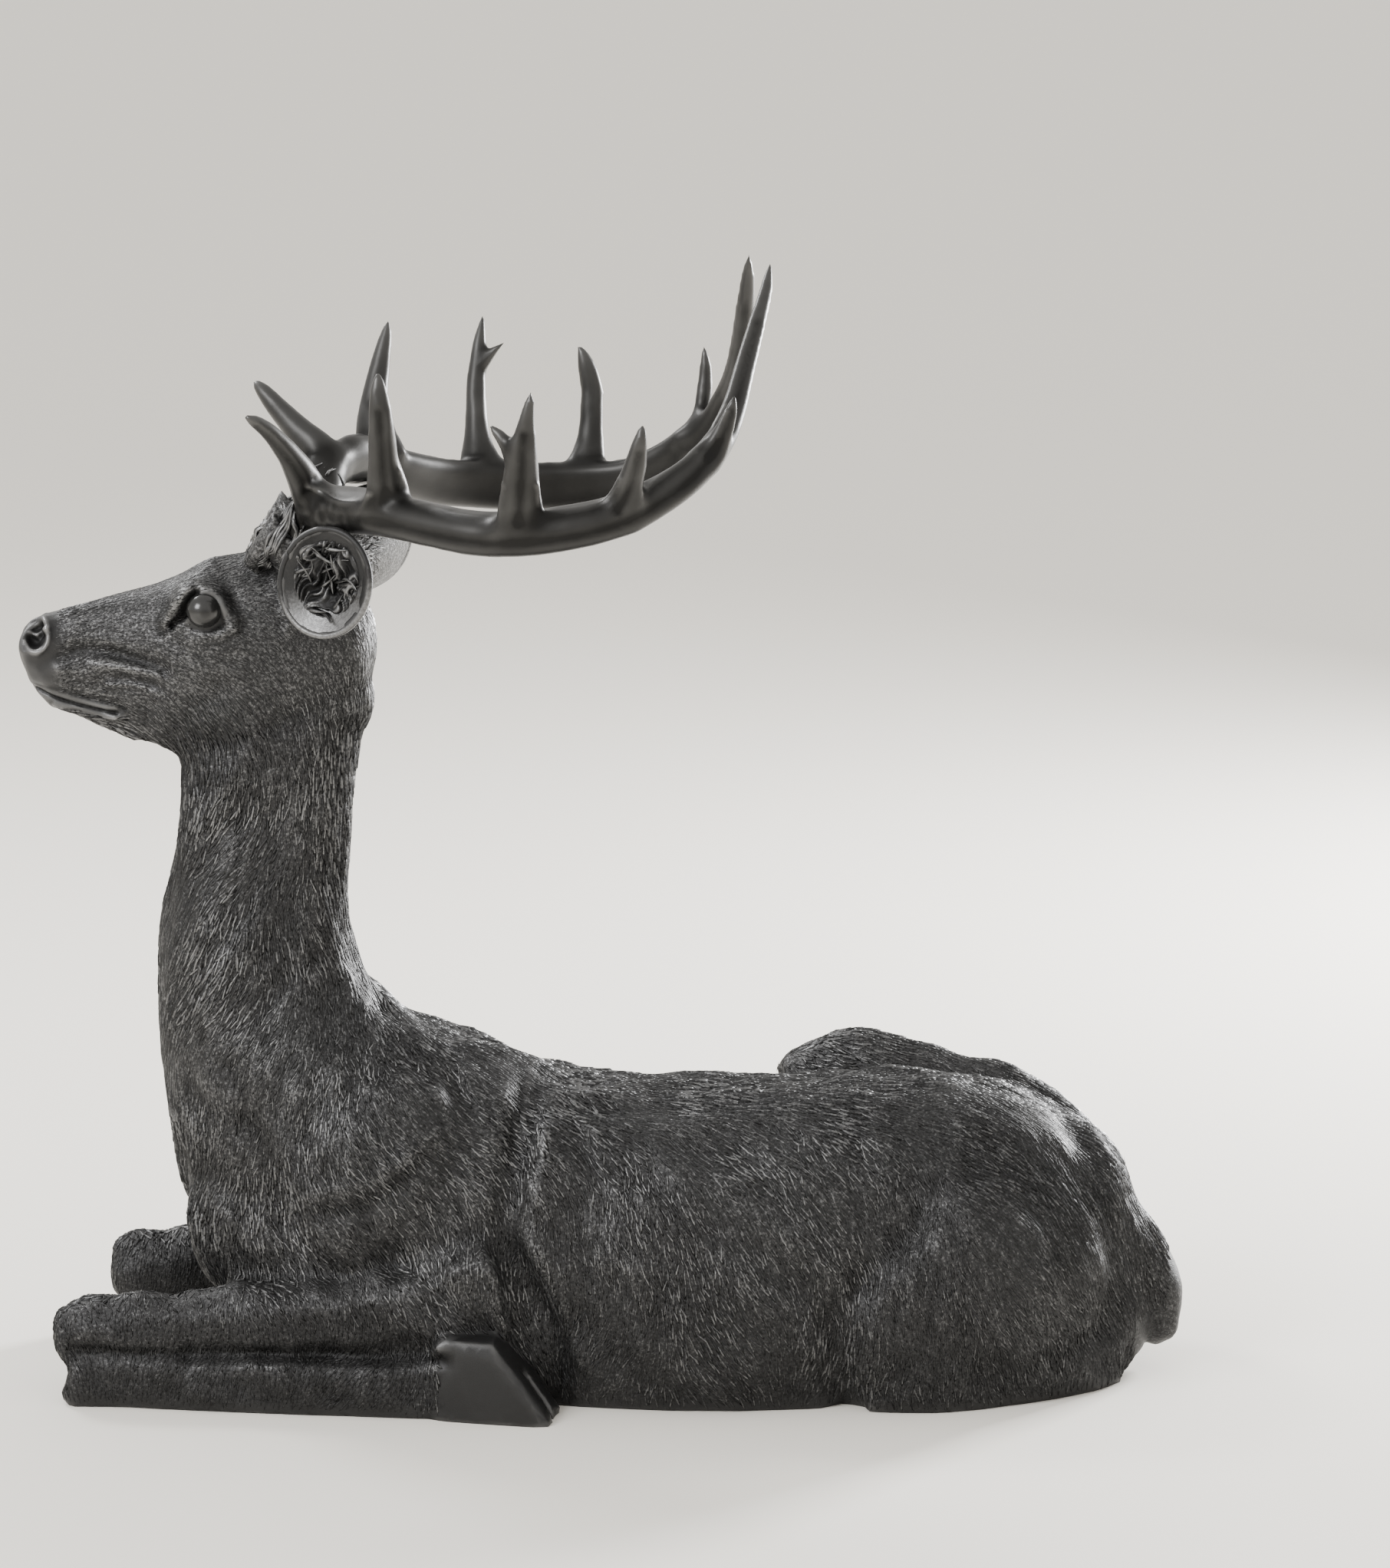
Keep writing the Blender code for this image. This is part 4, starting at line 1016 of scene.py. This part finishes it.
def grainAndGlintGroup():       # cast grain: fine pits, hair strands and a slow mottling, and speckles that paint glints
    group = bpy.data.node_groups.new("castGrainAndGlints", "ShaderNodeTree")
    group.interface.new_socket("Pit Scale", in_out="INPUT", socket_type="NodeSocketFloat")
    for name in ("Pits", "Strands", "Speckle", "Mottle"):
        group.interface.new_socket(name, in_out="OUTPUT", socket_type="NodeSocketFloat")
    inside = addNode(group, "NodeGroupInput")
    outside = addNode(group, "NodeGroupOutput")
    spot = addNode(group, "ShaderNodeTexCoord")
    turned = addNode(group, "ShaderNodeMapping")
    turned.inputs["Rotation"].default_value = (0, math.radians(12), 0)
    turned.inputs["Scale"].default_value = (150, 620, 620)
    plug(group, spot.outputs["Object"], turned.inputs["Vector"])
    pits = addNode(group, "ShaderNodeTexNoise", Detail=3.0, Roughness=0.6)
    plug(group, inside.outputs["Pit Scale"], pits.inputs["Scale"])
    strands = addNode(group, "ShaderNodeTexNoise", Scale=1.0, Detail=2.0)
    speckle = addNode(group, "ShaderNodeTexNoise", Scale=300.0, Detail=3.0, Roughness=0.65)
    mottle = addNode(group, "ShaderNodeTexNoise", Scale=9.0, Detail=4.0, Roughness=0.55)
    for texture, out in ((pits, "Pits"), (strands, "Strands"), (speckle, "Speckle"), (mottle, "Mottle")):
        place = turned.outputs["Vector"] if out == "Strands" else spot.outputs["Object"]
        plug(group, place, texture.inputs["Vector"])
        plug(group, texture.outputs["Fac"], outside.inputs[out])
    return group


# hollow is painted shade and crest a painted highlight, chosen by the crest attribute; even is the iron's own
# colour
finishesAndPaintedLight = {
    "coatIron": {
        "hollow": (0.007, 0.007, 0.0072), "even": (0.037, 0.037, 0.0378), "crest": (0.23, 0.23, 0.232),
        "roughness": (0.60, 0.34), "metallic": 0.8, "pits": 620, "bump": 0.45, "hair": 2.5, "mottle": 0.15,
        "speckle": 1.15},
    "antlerIron": {
        "hollow": (0.009, 0.009, 0.009), "even": (0.0115, 0.0112, 0.0108), "crest": (0.13, 0.129, 0.127),
        "roughness": (0.50, 0.36), "metallic": 0.8, "pits": 420, "bump": 0.10, "hair": 0.0, "mottle": 0.14},
    "eyeIron": {
        "hollow": (0.02, 0.02, 0.02), "even": (0.05, 0.05, 0.05), "crest": (0.14, 0.14, 0.14),
        "roughness": (0.26, 0.20), "metallic": 0.8, "pits": 300, "bump": 0.02, "hair": 0.0, "mottle": 0.0},
}


def scaled(tree, socket, gain, shift=0.0, clamp=False):     # socket * gain + shift, each a value or a socket
    node = addNode(tree, "ShaderNodeMath", operation="MULTIPLY_ADD", use_clamp=clamp)
    plug(tree, socket, node.inputs[0])
    for place, value in ((1, gain), (2, shift)):
        if isinstance(value, (int, float)):
            node.inputs[place].default_value = value
        else:
            plug(tree, value, node.inputs[place])
    return node.outputs[0]


def ironFinishAndPaintedLight(name, grainAndGlints):
    finishAndPaintedLight = finishesAndPaintedLight[name]
    material = bpy.data.materials.new(name)
    material.use_nodes = True
    tree = material.node_tree
    shader = tree.nodes["Principled BSDF"]
    shader.inputs["Metallic"].default_value = finishAndPaintedLight["metallic"]
    crest = addNode(tree, "ShaderNodeAttribute", attribute_name="crest")
    cast = addNode(tree, "ShaderNodeGroup")
    cast.node_tree = grainAndGlints
    cast.inputs["Pit Scale"].default_value = finishAndPaintedLight["pits"]
    mottleAndPaintedLight = scaled(tree, cast.outputs["Mottle"], finishAndPaintedLight["mottle"], -0.5 * finishAndPaintedLight["mottle"])
    height = cast.outputs["Pits"]
    if finishAndPaintedLight["hair"]:
        furred = addNode(tree, "ShaderNodeAttribute", attribute_name="furred")
        # painted glints: fine speckles lighten and darken the colour where the coat is furred
        glints = scaled(tree, cast.outputs["Speckle"], finishAndPaintedLight["speckle"], -0.5 * finishAndPaintedLight["speckle"])
        mottleAndPaintedLight = scaled(tree, glints, furred.outputs["Fac"], mottleAndPaintedLight)
        strands = scaled(tree, cast.outputs["Strands"], finishAndPaintedLight["hair"])
        height = scaled(tree, strands, furred.outputs["Fac"], height)
    # painted light: the crest attribute lightens crests and darkens hollows, and carries the painted light
    # and shade set on each piece
    mottleAndPaintedLight = scaled(tree, crest.outputs["Fac"], 1.0, mottleAndPaintedLight, True)
    steps = ((0.1, finishAndPaintedLight["hollow"]), (0.5, finishAndPaintedLight["even"]), (0.95, finishAndPaintedLight["crest"]))
    plug(tree, colourSteps(tree, mottleAndPaintedLight, steps), shader.inputs["Base Color"])
    rough = addNode(tree, "ShaderNodeMapRange")
    rough.inputs["To Min"].default_value, rough.inputs["To Max"].default_value = finishAndPaintedLight["roughness"]
    plug(tree, mottleAndPaintedLight, rough.inputs["Value"])
    plug(tree, rough.outputs["Result"], shader.inputs["Roughness"])
    bump = addNode(tree, "ShaderNodeBump", Strength=finishAndPaintedLight["bump"], Distance=0.0006)
    plug(tree, height, bump.inputs["Height"])
    plug(tree, bump.outputs["Normal"], shader.inputs["Normal"])
    return material


# Build

def settle(piece, material, slot, *nodes):
    piece.data.materials.clear()
    piece.data.materials.append(material)
    piece.data.shade_smooth()
    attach(piece, "root")
    if nodes:
        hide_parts(*nodes)


grainAndGlints = grainAndGlintGroup()
coatIron, antlerIron, eyeIron = [ironFinishAndPaintedLight(name, grainAndGlints) for name in ("coatIron", "antlerIron", "eyeIron")]

bodySkin = makeBody()
print("body skin made")
headSkin = makeHead()
print("head made")
leftAntler = makeAntler("antler_left", "antler_left_surface")
rightAntler = makeAntler("antler_right", "antler_right_surface")
print("antlers made")
headSurface = surfaceOf([headSkin])
eyes = makeEyes(headSurface)
foreheadLocks = makeForeheadLocks(surfaceOf([headSkin, leftAntler, rightAntler]))
earLocks = makeEarLocks()
earTufts = makeEarTufts()
earLinings = makeEarLinings()
print("eyes and locks made")
hairPieces = makeHairs([bodySkin, headSkin], surfaceOf([bodySkin, headSkin]))
print("coat made")

settle(bodySkin, coatIron, "coat_iron", "stag_body")
settle(headSkin, coatIron, "coat_iron", "stag_body")
settle(leftAntler, antlerIron, "antler_iron", "antler_left")
settle(rightAntler, antlerIron, "antler_iron", "antler_right")
settle(eyes, eyeIron, "coat_iron")
for piece in (foreheadLocks, earLocks, earTufts, earLinings, *hairPieces):
    settle(piece, coatIron, "coat_iron")


# Stage

stage = {       # in metres, degrees and, for the lens and the sensor, millimetres
    "floorSize": 240, "floorColour": (0.88, 0.85, 0.79), "floorRoughness": 0.8,
    "air": (0.97, 0.945, 0.90), "airStrength": 1.34, "lampAim": (0, 0, 0.5),
    "cameraPlace": (0.112, -6.0, 1.90), "cameraTilt": 78.9, "lens": 117.12, "sensor": 36,
}

lamps = (       # place, size and power in metres and watts
    ((-3.5, -3.0, 3.4), 2.0, 230),
    ((3.3, 2.9, 1.4), 0.9, 590),
    ((-2.4, 2.2, 3.4), 0.9, 90),
)


def makeStage():
    bm = bmesh.new()
    bmesh.ops.create_grid(bm, x_segments=1, y_segments=1, size=stage["floorSize"] / 2)
    floor = newPiece("floor", bm)
    paint = bpy.data.materials.new("paleFloor")
    paint.use_nodes = True
    shader = paint.node_tree.nodes["Principled BSDF"]
    shader.inputs["Base Color"].default_value = (*stage["floorColour"], 1)
    shader.inputs["Roughness"].default_value = stage["floorRoughness"]
    floor.data.materials.append(paint)
    air = bpy.data.worlds.new("studio")
    air.use_nodes = True
    glow = air.node_tree.nodes["Background"]
    glow.inputs["Color"].default_value = (*stage["air"], 1)
    glow.inputs["Strength"].default_value = stage["airStrength"]
    bpy.context.scene.world = air
    for place, size, power in lamps:
        light = bpy.data.lights.new("lamp", "AREA")
        light.size = size
        light.energy = power
        lamp = placed("lamp", light)
        lamp.location = place
        lamp.rotation_euler = (Vector(stage["lampAim"]) - Vector(place)).to_track_quat("-Z", "Y").to_euler()
    view = bpy.data.cameras.new("camera")
    view.lens = stage["lens"]
    view.sensor_width = stage["sensor"]
    camera = placed("camera", view)
    camera.location = stage["cameraPlace"]
    camera.rotation_euler = (math.radians(stage["cameraTilt"]), 0, 0)
    bpy.context.scene.camera = camera


makeStage()
print("stage made")
